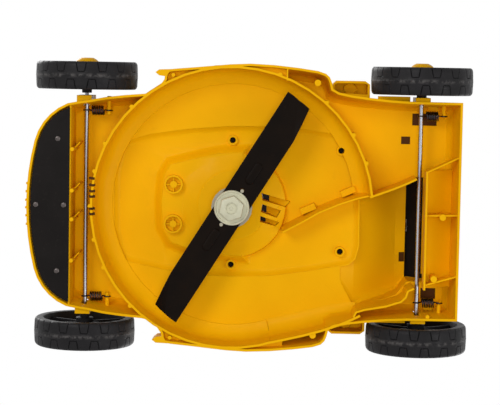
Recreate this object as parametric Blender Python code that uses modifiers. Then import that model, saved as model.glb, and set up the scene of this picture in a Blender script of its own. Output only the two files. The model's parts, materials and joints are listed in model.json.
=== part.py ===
"""Electric rotary lawn mower with a moulded deck, sprung axles, a bar blade and a direct-drive motor.

The mower stands on its wheels. +Z is up, the nose points to -Y and the mower's left side is +X.
Plan coordinates (x, u) are measured from the blade's axis, u towards the rear.
"""

import math

import bmesh
import bpy
import numpy as np
from mathutils import Matrix, Vector

# Overall sizes, in metres
RIM_Z = 0.035
WALL = 0.0035
GAP = 0.0003
NOSE_U = -0.305
REAR_U = 0.338
FRONT_AXLE_U = -0.221
REAR_AXLE_U = 0.280
NOSE_RIDGE_DEPTH = 0.002

# Wheels and axles
WHEEL_RADIUS = 0.076
BLADE_AXIS_Y = -(NOSE_U - NOSE_RIDGE_DEPTH + REAR_AXLE_U + WHEEL_RADIUS) / 2
WHEEL_WIDTH = 0.041
WHEEL_TRACK = 0.385
WHEEL_STEPS = 28
SPOKES = 6
AXLE_RADIUS = 0.00325
AXLE_FIT = 0.0003
AXLE_TRAVEL = 0.015
AXLE_SLOT_CLEARANCE = 0.0008
AXLE_Z = 0.076
DECK_LIFT = WHEEL_RADIUS - AXLE_Z
HUB_RADIUS = 0.0128
HUBCAP_RADIUS = 0.0195

# Blade chamber and deck. Heights are the deck's own; DECK_LIFT puts them over the wheels
CHAMBER_RADIUS = 0.207
CHAMBER_WALL = 0.0035
ROUND_STEPS = 48
CEILING_Z = 0.104
PANEL_Z = 0.112
PLATEAU_Z = 0.098
DECK_TOP_Z = 0.1085
UNDERSIDE_TOP_Z = DECK_TOP_Z - 0.004
MOTOR_SEAT_Z = 0.1165
NOSE_DROP = 0.012
POD_WHEEL_ROOM = 0.001
POD_REAR_U = REAR_AXLE_U - WHEEL_RADIUS - POD_WHEEL_ROOM
CORNER_RADIUS = 0.082
NOSE_RADIUS = 0.392

# Blade and its drive
BLADE_LENGTH = 0.380
BLADE_WIDTH = 0.047
BLADE_THICKNESS = 0.003
BLADE_Z = 0.045
BLADE_ANGLE = math.radians(31.0)
WING_START = 0.136
WING_LIFT = 0.011
BLADE_RIBS = ((0.046, 0.073, -0.0050), (-0.071, -0.043, -0.0075))
BLADE_RIB_RADIUS = 0.0022
BOLT_FLANGE_RADIUS = 0.0263
BOLT_HEX_FLATS = 0.033
BOLT_SHANK_RADIUS = 0.005
CARRIER_RADIUS = 0.0305
DRIVE_PIN_RADIUS = 0.0026
DRIVE_PIN_OFFSET = 0.0295
SHAFT_RADIUS = 0.0085
BEARING_RADIUS = 0.0175
BEARING_HEIGHT = 0.012
MOTOR_RADIUS = 0.052
MOTOR_HEIGHT = 0.078

# Motor cover
PLATFORM_X = 0.004
COVER_U = 0.034
COVER_HALF_X = 0.108
COVER_HALF_U = 0.151
COVER_WALL = 0.0028

# Springs
SPRING_WIRE = 0.0020
SPRING_COIL_RADIUS = 0.0065
SPRING_TURNS = 7
SPRING_PITCH = 0.0026
SPRING_LOOP_ROOM = 0.00055
SPRING_LOOP_RADIUS = AXLE_RADIUS + SPRING_WIRE / 2 + SPRING_LOOP_ROOM
SPRING_X = 0.1405
SPRING_LEAD = 0.0078
PEG_RADIUS = 0.0032

FLAP_SPRING_WIRE = 0.0012
FLAP_SPRING_RADIUS = 0.0046
FLAP_SPRING_TURNS = 6
FLAP_SPRING_PITCH = 0.0022

# Discharge outlet and flap, with x to the mower's left
OUTLET_LEFT_X = 0.047
OUTLET_RIGHT_X = -0.112
OUTLET_U = 0.267
OUTLET_TOP_Z = 0.165
OUTLET_SILL_Z = 0.095
CHEEK_TOP = (0.272, OUTLET_TOP_Z + WALL)
CHEEK_RUN = 0.066
FLAP_THICKNESS = 0.0030
FLAP_OVERLAP = 0.008
HINGE_ROD_RADIUS = 0.0025
HINGE_BACK = 0.010
HINGE_LIFT = 0.006
KNUCKLE_RADIUS = 0.0055
BROW_TOP_Z = OUTLET_TOP_Z + 0.011
BROW_DEPTH = 0.0105
LUG_WIDTH = 0.0052

# Cover plate of the nose
PLATE_THICKNESS = 0.0028
PLATE_Z = 0.0365
PLATE_INSET = 0.0060
PLATE_REAR_U = -0.2415
SCREW_HEAD_RADIUS = 0.0044


def clear_scene():
    for obj in list(bpy.data.objects):
        bpy.data.objects.remove(obj, do_unlink=True)


def new_collection(name, hidden=False, parent=None):
    coll = bpy.data.collections.new(name)
    (parent or bpy.context.scene.collection).children.link(coll)
    coll.hide_render = hidden
    return coll


def new_material(name, colour, roughness, metallic=0.0):
    mat = bpy.data.materials.new(name)
    mat.use_nodes = True
    shader = mat.node_tree.nodes["Principled BSDF"]
    shader.inputs["Base Color"].default_value = (*colour, 1.0)
    shader.inputs["Roughness"].default_value = roughness
    shader.inputs["Metallic"].default_value = metallic
    mat.diffuse_color = (*colour, 1.0)
    return mat


def add_mesh(name, mesh, coll, mat=None, location=(0, 0, 0), rotation=(0, 0, 0)):
    obj = bpy.data.objects.new(name, mesh)
    coll.objects.link(obj)
    obj.location = location
    obj.rotation_euler = rotation
    if mat:
        mesh.materials.clear()
        mesh.materials.append(mat)
    if coll.hide_render:
        obj.hide_render = True
        obj.display_type = "WIRE"
    return obj


def mesh_from(bm, name):
    bmesh.ops.recalc_face_normals(bm, faces=bm.faces)
    mesh = bpy.data.meshes.new(name)
    bm.to_mesh(mesh)
    bm.free()
    return mesh


def at_blade_axis(x=0.0, u=0.0, z=0.0):
    """The world place of a point in plan coordinates, with its height in the deck's own frame."""
    return (x, BLADE_AXIS_Y + u, z + DECK_LIFT)


def prism_mesh(name, outline, low, high):
    """The plan outline, a list of (x, u), extruded from z = low to z = high."""
    bm = bmesh.new()
    face = bm.faces.new([bm.verts.new((x, u, low)) for x, u in outline])
    grown = bmesh.ops.extrude_face_region(bm, geom=[face])["geom"]
    bmesh.ops.translate(
        bm,
        vec=(0, 0, high - low),
        verts=[item for item in grown if isinstance(item, bmesh.types.BMVert)],
    )
    return mesh_from(bm, name)


def box_mesh(name, low, high):
    bm = bmesh.new()
    size = [b - a for a, b in zip(low, high)]
    middle = [(a + b) / 2 for a, b in zip(low, high)]
    bmesh.ops.create_cube(bm, size=1.0, matrix=Matrix.LocRotScale(middle, None, size))
    return mesh_from(bm, name)


def cylinder_mesh(name, start, end, radius, steps=24, end_radius=None):
    bm = bmesh.new()
    start, end = Vector(start), Vector(end)
    turn = Vector((0, 0, 1)).rotation_difference(end - start).to_matrix().to_4x4()
    bmesh.ops.create_cone(
        bm,
        cap_ends=True,
        segments=steps,
        radius1=radius,
        radius2=radius if end_radius is None else end_radius,
        depth=(end - start).length,
        matrix=Matrix.Translation((start + end) / 2) @ turn,
    )
    return mesh_from(bm, name)


def loft_mesh(name, rings):
    """A closed skin through rings of as many points each, with both ends capped."""
    bm = bmesh.new()
    rows = [[bm.verts.new(point) for point in ring] for ring in rings]
    count = len(rows[0])
    sides = []
    for lower, upper in zip(rows, rows[1:]):
        for i in range(count):
            j = (i + 1) % count
            sides.append(bm.faces.new((lower[i], lower[j], upper[j], upper[i])))
    bmesh.ops.triangulate(bm, faces=sides)
    bm.faces.new(rows[0])
    bm.faces.new(rows[-1])
    return mesh_from(bm, name)


def turned_mesh(name, profile, steps):
    """A closed (radius, height) profile turned about Z. A profile that touches the axis stays open there."""
    bm = bmesh.new()
    points = [bm.verts.new((radius, 0, height)) for radius, height in profile]
    for a, b in zip(points, points[1:]):
        bm.edges.new((a, b))
    if profile[0][0] > 0:
        bm.edges.new((points[-1], points[0]))
    mesh = bpy.data.meshes.new(name)
    bm.to_mesh(mesh)
    bm.free()
    obj = bpy.data.objects.new(name, mesh)
    bpy.context.scene.collection.objects.link(obj)
    screw = obj.modifiers.new("Turn", "SCREW")
    screw.steps = steps
    screw.render_steps = steps
    screw.use_merge_vertices = True
    screw.merge_threshold = 0.00001
    screw.use_smooth_shade = False
    turned = baked_mesh(obj)
    bpy.data.objects.remove(obj, do_unlink=True)
    bm = bmesh.new()
    bm.from_mesh(turned)
    return mesh_from(bm, name)


def baked_mesh(obj):
    bpy.context.view_layer.update()
    graph = bpy.context.evaluated_depsgraph_get()
    return bpy.data.meshes.new_from_object(obj.evaluated_get(graph))


def join_or_cut(target, operation, operands):
    """One exact Boolean of target with every mesh in operands, whose objects stay in their own collection."""
    group = new_collection(f"{target.name}_{operation.lower()}_{len(target.modifiers)}", True, CUTTERS)
    for i, mesh in enumerate(operands):
        add_mesh(f"{group.name}_{i}", mesh, group, location=target.location)
    step = target.modifiers.new(group.name, "BOOLEAN")
    step.operation = operation
    step.solver = "EXACT"
    step.operand_type = "COLLECTION"
    step.collection = group


def smooth(obj, degrees=35):
    obj.data.shade_smooth()
    obj.data.set_sharp_from_angle(angle=math.radians(degrees))


def mirrored(points):
    return [(-x, u) for x, u in points]


def inset(outline, distance):
    """The outline moved inwards by distance, with mitred corners. It runs either way round."""
    points = np.array(outline)
    ahead = np.roll(points, -1, axis=0) - points
    area = np.sum(points[:, 0] * np.roll(points[:, 1], -1) - np.roll(points[:, 0], -1) * points[:, 1])
    normals = np.stack([-ahead[:, 1], ahead[:, 0]], axis=1) * np.sign(area)
    normals /= np.linalg.norm(normals, axis=1, keepdims=True)
    before = np.roll(normals, 1, axis=0)
    mitre = (normals + before) / (1 + np.sum(normals * before, axis=1, keepdims=True))
    return [tuple(point) for point in points + mitre * distance]


def band(points, thickness):
    """The plan outline of a wall of this thickness along an open line of points."""
    line = np.array(points)
    ahead = np.gradient(line, axis=0)
    sideways = np.stack([-ahead[:, 1], ahead[:, 0]], axis=1)
    sideways *= thickness / 2 / np.linalg.norm(sideways, axis=1, keepdims=True)
    return [tuple(p) for p in line + sideways] + [tuple(p) for p in (line - sideways)[::-1]]


def arc(centre, radius, start, end, count):
    """Points from the start angle to the end angle, in degrees from +x towards +u."""
    angles = np.radians(np.linspace(start, end, count))
    return [(centre[0] + radius * math.cos(a), centre[1] + radius * math.sin(a)) for a in angles]


def nose_arc(gap_inside=0.0):
    """The nose from its middle to the left corner: a shallow front arc, then a tighter corner arc."""
    centre_u = NOSE_U + NOSE_RADIUS
    turn = 14.0
    front = arc((0, centre_u), NOSE_RADIUS - gap_inside, -90, -90 + turn, 5)
    reach = NOSE_RADIUS - CORNER_RADIUS
    corner = (reach * math.sin(math.radians(turn)), centre_u - reach * math.cos(math.radians(turn)))
    return front + arc(corner, CORNER_RADIUS - gap_inside, -90 + turn, -22, 6)[1:]


def deck_outline():
    """The deck's rim: narrow beside the wheels, and round about the blade chamber."""
    side = [
        (0.1540, -0.2290), (0.1565, -0.2120), (0.1610, -0.1890), (0.1645, -0.1600), (0.1670, -0.1310),
        (0.1700, -0.1190), (0.1780, -0.1095), (0.1890, -0.1020), (0.1970, -0.1010), (0.2030, -0.0970),
        (0.2045, -0.0880), (0.2080, -0.0500), (0.2125, -0.0050), (0.2140, 0.0250), (0.2125, 0.0600),
        (0.2090, 0.0950), (0.2050, 0.1240), (0.2010, 0.1360), (0.1960, 0.1415), (0.1890, 0.1445),
        (0.1790, 0.1470), (0.1740, 0.1560), (0.1700, 0.1760), (0.1670, 0.2000), (0.1640, 0.2320),
        (0.1625, 0.2620), (0.1620, REAR_U),
    ]
    half = nose_arc() + side
    return half + mirrored(half[:0:-1])


def nose_drop(u):
    t = min(max((-0.18 - u) / 0.12, 0.0), 1.0)
    return NOSE_DROP * t * t * (3 - 2 * t)


def deck_ring(outline, z, scale_x, scale_u, drop=False):
    middle_u = 0.016
    ring = []
    for x, u in outline:
        v = middle_u + (u - middle_u) * scale_u
        ring.append((x * scale_x, v, z - (nose_drop(v) if drop else 0)))
    return ring


def panel_outline(grow=0.0):
    """The D-shaped panel in the chamber's ceiling, which carries the motor above it."""
    left = [(0.091, -0.170), (0.105, -0.128), (0.114, -0.068), (0.119, -0.010), (0.120, 0.042)]
    rear = [(0.117, 0.103), (0.109, 0.161), (0.100, 0.182), (0.085, 0.190), (-0.059, 0.192)]
    right = [(-0.079, 0.187), (-0.088, 0.177), (-0.099, 0.119), (-0.108, 0.058), (-0.110, -0.003)]
    front = [(-0.109, -0.034), (-0.102, -0.103), (-0.088, -0.168), (-0.045, -0.180), (0.045, -0.181)]
    return inset(left + rear + right + front, -grow)


# The discharge channel at each station u: right and left wall, floor, ceiling and corner radius
CHANNEL = [
    (0.165, -0.122, -0.005, 0.060, 0.1060, 0.016),
    (0.186, -0.154, 0.010, 0.060, 0.1125, 0.016),
    (0.204, -0.1455, 0.0185, 0.060, 0.124, 0.016),
    (0.232, -0.1395, 0.0295, 0.060, 0.145, 0.016),
    (0.251, -0.132, 0.037, 0.060, 0.160, 0.012),
    (OUTLET_U, OUTLET_RIGHT_X, OUTLET_LEFT_X, 0.060, OUTLET_TOP_Z, 0.004),
]


def channel_ring(u, right, left, floor, ceiling, radius, grow=0.0):
    """A section of the channel with rounded upper corners."""
    right, left, top = right - grow, left + grow, ceiling + grow
    r = radius + grow
    ring = [(left, floor), (left, top - r)]
    ring += arc((left - r, top - r), r, 0, 90, 4)[1:]
    ring += arc((right + r, top - r), r, 90, 180, 4)
    ring += [(right, floor)]
    return [(x, u, z) for x, z in ring]


def hump_mesh():
    """The solid over the channel. Behind the outlet it falls away as the flap's two cheeks."""
    rings = [channel_ring(*row, grow=WALL) for row in CHANNEL]
    top_u, top_z = CHEEK_TOP
    for back in (0.0, CHEEK_RUN):
        ceiling = top_z - back - WALL
        rings.append(channel_ring(top_u + back, OUTLET_RIGHT_X, OUTLET_LEFT_X, 0.060, ceiling,
                                  -0.0025, grow=WALL))
    return loft_mesh("hump", rings)


def outlet_cut():
    """The open space between the cheeks, over the rear crossmember."""
    profile = [
        (OUTLET_U - 0.0005, 0.055), (0.286, 0.062), (0.310, 0.078), (REAR_U + 0.010, 0.0955),
        (REAR_U + 0.010, CHEEK_TOP[1] + 0.03), (OUTLET_U - 0.0005, CHEEK_TOP[1] + 0.03),
    ]
    return loft_mesh("outlet", [[(x, u, z) for u, z in profile] for x in (OUTLET_RIGHT_X, OUTLET_LEFT_X)])


def channel_wall_line(left_side):
    """The lower edge of a channel wall, from the chamber wall to the axle."""
    if left_side:
        return [(0.020, 0.2045), (0.031, 0.234), (0.038, 0.251), (0.043, 0.262), (0.0485, 0.273)]
    return [(-0.1590, 0.184), (-0.1515, 0.188), (-0.1475, 0.200), (-0.142, 0.231), (-0.1345, 0.254),
            (-0.128, 0.261), (-0.1185, 0.264), (-0.1145, 0.273)]


def socket_pod(side):
    """The raised shoulder behind the chamber that takes one leg of the push handle."""
    low = [(0.150, 0.147), (0.186, 0.147), (0.191, 0.153), (0.191, POD_REAR_U - 0.007),
           (0.186, POD_REAR_U), (0.150, POD_REAR_U)]
    levels = ((0.080, 0), (0.124, 0), (0.129, 0.004))
    rings = [[(side * x, u, z) for x, u in inset(low, d)] for z, d in levels]
    return loft_mesh("pod", rings)


def build_deck(coll, mat):
    rim = deck_outline()
    rings = [
        deck_ring(rim, RIM_Z, 1.0, 1.0),
        deck_ring(rim, 0.0415, 1.0, 1.0),
        deck_ring(rim, 0.0880, 0.972, 0.985, drop=True),
        deck_ring(rim, 0.1000, 0.955, 0.975, drop=True),
        deck_ring(rim, DECK_TOP_Z, 0.915, 0.950, drop=True),
        deck_ring(rim, DECK_TOP_Z, 0.770, 0.800, drop=True),
        deck_ring(rim, DECK_TOP_Z, 0.580, 0.600, drop=True),
    ]
    deck = add_mesh("deck", loft_mesh("deck", rings), coll, mat, at_blade_axis())

    step = 0.006
    fin = [(0.1930, -0.099), (0.1945, -0.110), (0.1990, -0.1155), (0.2032, -0.110), (0.2040, -0.092)]
    outer = [
        prism_mesh("fin_left", fin, RIM_Z, 0.070),
        prism_mesh("fin_right", mirrored(fin), RIM_Z, 0.070),
        loft_mesh("motor_platform", [
            [(x, u, z) for x, u in panel_outline(grow)]
            for z, grow in ((0.095, step), (MOTOR_SEAT_Z - 0.003, step - 0.001), (MOTOR_SEAT_Z, step - 0.003))
        ]),
        turned_mesh("drum", [
            (0, DECK_TOP_Z + 0.0005), (0.2010, DECK_TOP_Z + 0.0005), (0.2100, 0.1010), (0.2125, 0.0930),
            (0.2125, 0.0600), (0, 0.0600)], ROUND_STEPS),
        hump_mesh(),
        socket_pod(1),
        socket_pod(-1),
        *hinge_mount(),
        *nose_ridges(),
    ]
    bearing_top = MOTOR_SEAT_Z + 0.002
    outer.append(turned_mesh("motor_ring", [
        (0, bearing_top), (0.074, bearing_top), (0.078, 0.100), (0, 0.100)], 32))
    outer += [axle_boss(side, u) for side in (1, -1) for u in (FRONT_AXLE_U, REAR_AXLE_U)]

    hollow = inset(rim, WALL)
    lower_rings = [
        deck_ring(hollow, RIM_Z - 0.01, 1.0, 1.0),
        deck_ring(hollow, 0.0410, 1.0, 1.0),
        deck_ring(hollow, 0.0865, 0.972, 0.985, drop=True),
        deck_ring(hollow, 0.0975, 0.956, 0.976, drop=True),
        deck_ring(hollow, UNDERSIDE_TOP_Z, 0.925, 0.955, drop=True),
        deck_ring(hollow, UNDERSIDE_TOP_Z, 0.780, 0.800, drop=True),
        deck_ring(hollow, UNDERSIDE_TOP_Z, 0.590, 0.600, drop=True),
    ]
    cavities = [
        loft_mesh("underside", lower_rings),
        turned_mesh("chamber", [
            (0, CEILING_Z), (0.194, CEILING_Z), (0.203, CEILING_Z - 0.004),
            (CHAMBER_RADIUS + 0.0015, CEILING_Z - 0.012),
            (CHAMBER_RADIUS + 0.0015, RIM_Z - 0.01), (0, RIM_Z - 0.01)], ROUND_STEPS),
        prism_mesh("ceiling_panel", panel_outline(), 0.090, PANEL_Z),
        loft_mesh("channel", [channel_ring(*row) for row in CHANNEL]),
        outlet_cut(),
        pod_hollow(1),
        pod_hollow(-1),
    ]
    stages = [("UNION", outer), ("DIFFERENCE", cavities), ("UNION", inner_walls()),
              ("DIFFERENCE", deck_holes())]
    for operation, operands in stages:
        join_or_cut(deck, operation, operands)
    smooth(deck, 30)
    return deck


def skin_z(u):
    """The middle of the deck's top skin at u, where posts and ribs end."""
    return (DECK_TOP_Z + UNDERSIDE_TOP_Z) / 2 - nose_drop(u)


def nose_ridges():
    """Short upright grip ridges on the front of the nose."""
    made = []
    for x in (0.0311, 0.0191, 0.0064, -0.0048, -0.0168, -0.0295):
        front = NOSE_U + NOSE_RADIUS - math.sqrt(NOSE_RADIUS**2 - x**2) - NOSE_RIDGE_DEPTH
        if abs(x) < 0.01:
            front = NOSE_U - NOSE_RIDGE_DEPTH
        made.append(box_mesh("ridge", (x - 0.0016, front, RIM_Z + 0.003),
                             (x + 0.0016, front + 0.006, RIM_Z + 0.024)))
    return made


def flap_half_width():
    return (OUTLET_LEFT_X - OUTLET_RIGHT_X) / 2 + FLAP_OVERLAP


def flap_hinge_point():
    """The middle of the flap's rod: plan coordinates and height, up the slope from the cheeks."""
    down, out = Vector((0, 1, -1)).normalized(), Vector((0, 1, 1)).normalized()
    start = Vector(((OUTLET_LEFT_X + OUTLET_RIGHT_X) / 2, *CHEEK_TOP))
    return start - down * HINGE_BACK + out * HINGE_LIFT


def hinge_mount():
    """The bar along the top of the outlet, with a lug for the flap's rod at each end."""
    hinge = flap_hinge_point()
    inner = flap_half_width() + 2 * GAP
    low = OUTLET_TOP_Z - 0.004
    rear = hinge.y - KNUCKLE_RADIUS - 0.001
    front = rear - BROW_DEPTH
    outer = inner + LUG_WIDTH
    made = [box_mesh("brow", (hinge.x - outer, front, low), (hinge.x + outer, rear, BROW_TOP_Z))]
    profile = [(front, low + 0.001), (rear + 0.002, low + 0.001)]
    profile += arc((hinge.y, hinge.z), KNUCKLE_RADIUS, -40, 110, 6)
    profile += [(front, BROW_TOP_Z + 0.001)]
    for side in (1, -1):
        ends = (hinge.x + side * inner, hinge.x + side * (outer + 0.001))
        made.append(loft_mesh("lug", [[(x, u, z) for u, z in profile] for x in ends]))
    return made


def pod_hollow(side):
    low = [(0.1735, 0.1505), (0.1860, 0.1505), (0.1875, 0.1550), (0.1875, POD_REAR_U - 0.009),
           (0.1860, POD_REAR_U - WALL), (0.1710, POD_REAR_U - WALL)]
    return prism_mesh("pod_hollow", [(side * x, u) for x, u in low], 0.070, 0.1245)


def axle_boss(side, u):
    """The boss round each axle slot, outside the deck's side wall."""
    wall_x = 0.150 if u < 0 else 0.158
    reach = 0.163 if u < 0 else 0.168
    low = (min(side * wall_x, side * reach), u - 0.011, AXLE_Z - 0.034)
    high = (max(side * wall_x, side * reach), u + 0.011, AXLE_Z + 0.024)
    return box_mesh("axle_boss", low, high)


def inner_walls():
    """Everything that stands down from the ceiling: chamber wall, channel walls, ribs and bosses."""
    ring_radius = CHAMBER_RADIUS + CHAMBER_WALL / 2
    walls = [chamber_wall(), *baffle()]
    for left_side in (True, False):
        walls.append(prism_mesh("channel_wall", band(channel_wall_line(left_side), 0.003), RIM_Z, 0.135))
    boss_angles = [-135.0, -116.0, -104.0, -90.3, -76.0, -64.0, -45.5, 19.0, 41.0, 58.0, 70.5]
    for angle in boss_angles:
        x, u = arc((0, 0), ring_radius + 0.0015, angle, angle, 1)[0]
        walls.append(cylinder_mesh("wall_boss", (x, u, RIM_Z), (x, u, 0.0985), 0.0036, 6))
    walls += front_details() + rear_details() + ceiling_details()
    return walls


def chamber_wall():
    """The round wall of the blade chamber, filleted at the ceiling. It leaves the channel open."""
    top = UNDERSIDE_TOP_Z + 0.0015
    inner, outer = CHAMBER_RADIUS, CHAMBER_RADIUS + CHAMBER_WALL
    profile = [
        (outer, RIM_Z), (inner, RIM_Z), (inner, 0.080), (inner - 0.005, 0.093), (inner - 0.013, 0.1003),
        (inner - 0.023, 0.1032), (inner - 0.024, top), (outer, top),
    ]
    rings = []
    for turn in np.radians(np.linspace(130.5 - 360, 84.5, 43)):
        rings.append([(r * math.cos(turn), r * math.sin(turn), z) for r, z in profile])
    return loft_mesh("chamber_wall", rings)


def baffle():
    """The sloping wall that starts the discharge channel inside the chamber, well above the blade."""
    line = [(-0.038, 0.0760), (-0.024, 0.1020), (-0.007, 0.1310), (0.006, 0.1610),
            (0.015, 0.1870), (0.0195, 0.2050)]
    lean = [(x + 0.003, u - 0.001) for x, u in line]
    lower = [(x, u, 0.072) for x, u in band(line, 0.0024)]
    upper = [(x, u, PANEL_Z + 0.002) for x, u in band(lean, 0.0084)]
    walls = [loft_mesh("baffle", [lower, upper])]
    for start, end in (((-0.0085, 0.1035), (0.0010, 0.1250)), ((0.0190, 0.1640), (0.0285, 0.1850))):
        walls.append(prism_mesh("baffle_block", band([start, end], 0.0095), 0.0960, PANEL_Z + 0.002))
    return walls


def front_details():
    """Posts and ribs behind the cover plate, and the ledge that the plate is screwed to."""
    made = []
    post_u = -0.238
    top = skin_z(post_u)
    for x in (-0.083, -0.0215, 0.0215, 0.083):
        made.append(cylinder_mesh("post", (x, post_u, RIM_Z + 0.002), (x, post_u, top), 0.0032, 8))
        made.append(prism_mesh("post_rib",
                               band([(x, post_u), (x + 0.010, post_u + 0.0095)], 0.0018), 0.060, top))
    made.append(prism_mesh("cover_wall", band([(-0.149, -0.2410), (0.149, -0.2410)], 0.0024),
                           PLATE_Z + 0.0034, top))
    for x, u in plate_screw_places():
        top = min(skin_z(u), 0.087) if u < -0.28 else skin_z(u)
        made.append(cylinder_mesh("plate_post", (x, u, PLATE_Z + PLATE_THICKNESS + GAP),
                                  (x, u, top), 0.0058, 10))
    divider = [(0.190, 0.0790), (0.207, 0.0790)]
    made.append(prism_mesh("divider", band(divider, 0.0022), RIM_Z, 0.0975))
    for side in (1, -1):
        spots = [(0.1955, -0.0890, 0.0030), (0.1875, 0.1240, 0.0050)]
        for x, u, radius in spots:
            made.append(cylinder_mesh("pocket_boss", (side * x, u, RIM_Z + 0.001),
                                      (side * x, u, 0.0965), radius, 10))
    for side in (1, -1):
        for axle_u in (FRONT_AXLE_U, REAR_AXLE_U):
            peg_u = peg_place(axle_u)
            inner, outer = side * (SPRING_X - 0.006), side * (0.162 if axle_u < 0 else 0.1605)
            made.append(cylinder_mesh("peg", (inner, peg_u, AXLE_Z), (outer, peg_u, AXLE_Z), PEG_RADIUS, 10))
    return made


def rear_details():
    """The ribbed crossmember behind the rear axle, which is also the sill of the outlet."""
    front_u = REAR_AXLE_U + 0.0065
    skin = 0.0035
    profile = [
        (front_u, RIM_Z), (front_u + 0.003, RIM_Z), (front_u + 0.003, 0.0655 - skin), (0.310, 0.079 - skin),
        (REAR_U - 0.002, OUTLET_SILL_Z - skin), (REAR_U - 0.002, OUTLET_SILL_Z),
        (0.310, 0.081), (front_u, 0.0673),
    ]
    left, right = 0.060, -0.1165
    made = [loft_mesh("sill", [[(x, u, z) for u, z in profile] for x in (right, left)])]
    for start, end in (((0.058, 0.288), (0.081, 0.336)), ((-0.006, 0.288), (-0.005, 0.336)),
                       ((-0.110, 0.288), (-0.096, 0.336))):
        made.append(prism_mesh("sill_rib", band([start, end], 0.0022), 0.041, 0.072))
    for x, u in ((-0.008, 0.313), (-0.100, 0.302)):
        made.append(cylinder_mesh("sill_boss", (x, u, 0.0385), (x, u, 0.080), 0.0050, 10))
    made.append(cylinder_mesh("corner_boss", (-0.1565, 0.294, RIM_Z + 0.002),
                              (-0.1565, 0.294, 0.100), 0.0032, 8))
    return made


def ceiling_details():
    """Motor boss, front plateau, spoked bosses and screw pillars of the chamber ceiling."""
    plateau = [(0.083, 0.017), (0.081, -0.021), (0.072, -0.059), (0.062, -0.097),
               (0.043, -0.108), (0.005, -0.111),
               (-0.038, -0.109), (-0.061, -0.095), (-0.069, -0.072), (-0.078, -0.020), (-0.081, 0.017)]
    levels = ((PLATEAU_Z, 0.003), (PANEL_Z + 0.002, -0.002))
    made = [
        loft_mesh("plateau", [[(x, u, z) for x, u in inset(plateau, d)] for z, d in levels]),
        turned_mesh("motor_boss", [
            (0, PANEL_Z + 0.002), (0.083, PANEL_Z + 0.002), (0.080, 0.100), (0.056, 0.090), (0.052, 0.087),
            (0.028, 0.086), (0.024, 0.078), (0, 0.078)], 32),
    ]
    for x, u in spoked_bosses():
        ring = [(0.0145, PLATEAU_Z - 0.010), (0.0115, PLATEAU_Z - 0.010), (0.0115, PLATEAU_Z + 0.002),
                (0.0145, PLATEAU_Z + 0.002)]
        made.append(moved(turned_mesh("spoked_ring", ring[::-1], 12), (x, u, 0)))
        made.append(cylinder_mesh("spoked_hub", (x, u, PLATEAU_Z - 0.008),
                                  (x, u, PLATEAU_Z + 0.002), 0.0058, 8))
        for turn in (0, math.pi / 2):
            dx, du = 0.0125 * math.cos(turn), 0.0125 * math.sin(turn)
            made.append(prism_mesh("spoke", band([(x - dx, u - du), (x + dx, u + du)], 0.0018),
                                   PLATEAU_Z - 0.007, PLATEAU_Z + 0.002))
    for x, u in cover_screw_places():
        made.append(cylinder_mesh("screw_pillar", (x, u, PANEL_Z - 0.007),
                                  (x, u, PANEL_Z + 0.002), 0.0078, 12))
    return made


def moved(mesh, offset):
    mesh.transform(Matrix.Translation(offset))
    return mesh


def spoked_bosses():
    return [(0.030, -0.090), (-0.030, -0.090)]


def cover_screw_places():
    return [(0.098, -0.002), (0.085, 0.163), (-0.092, -0.002), (-0.069, 0.164)]


def plate_screw_places():
    return [(0.0985, -0.259), (0.0, -0.291), (0.0, -0.2455 - 0.004), (-0.0985, -0.259)]


def peg_place(axle_u):
    return axle_u + 2 * SPRING_LEAD + SPRING_TURNS * SPRING_PITCH


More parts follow.
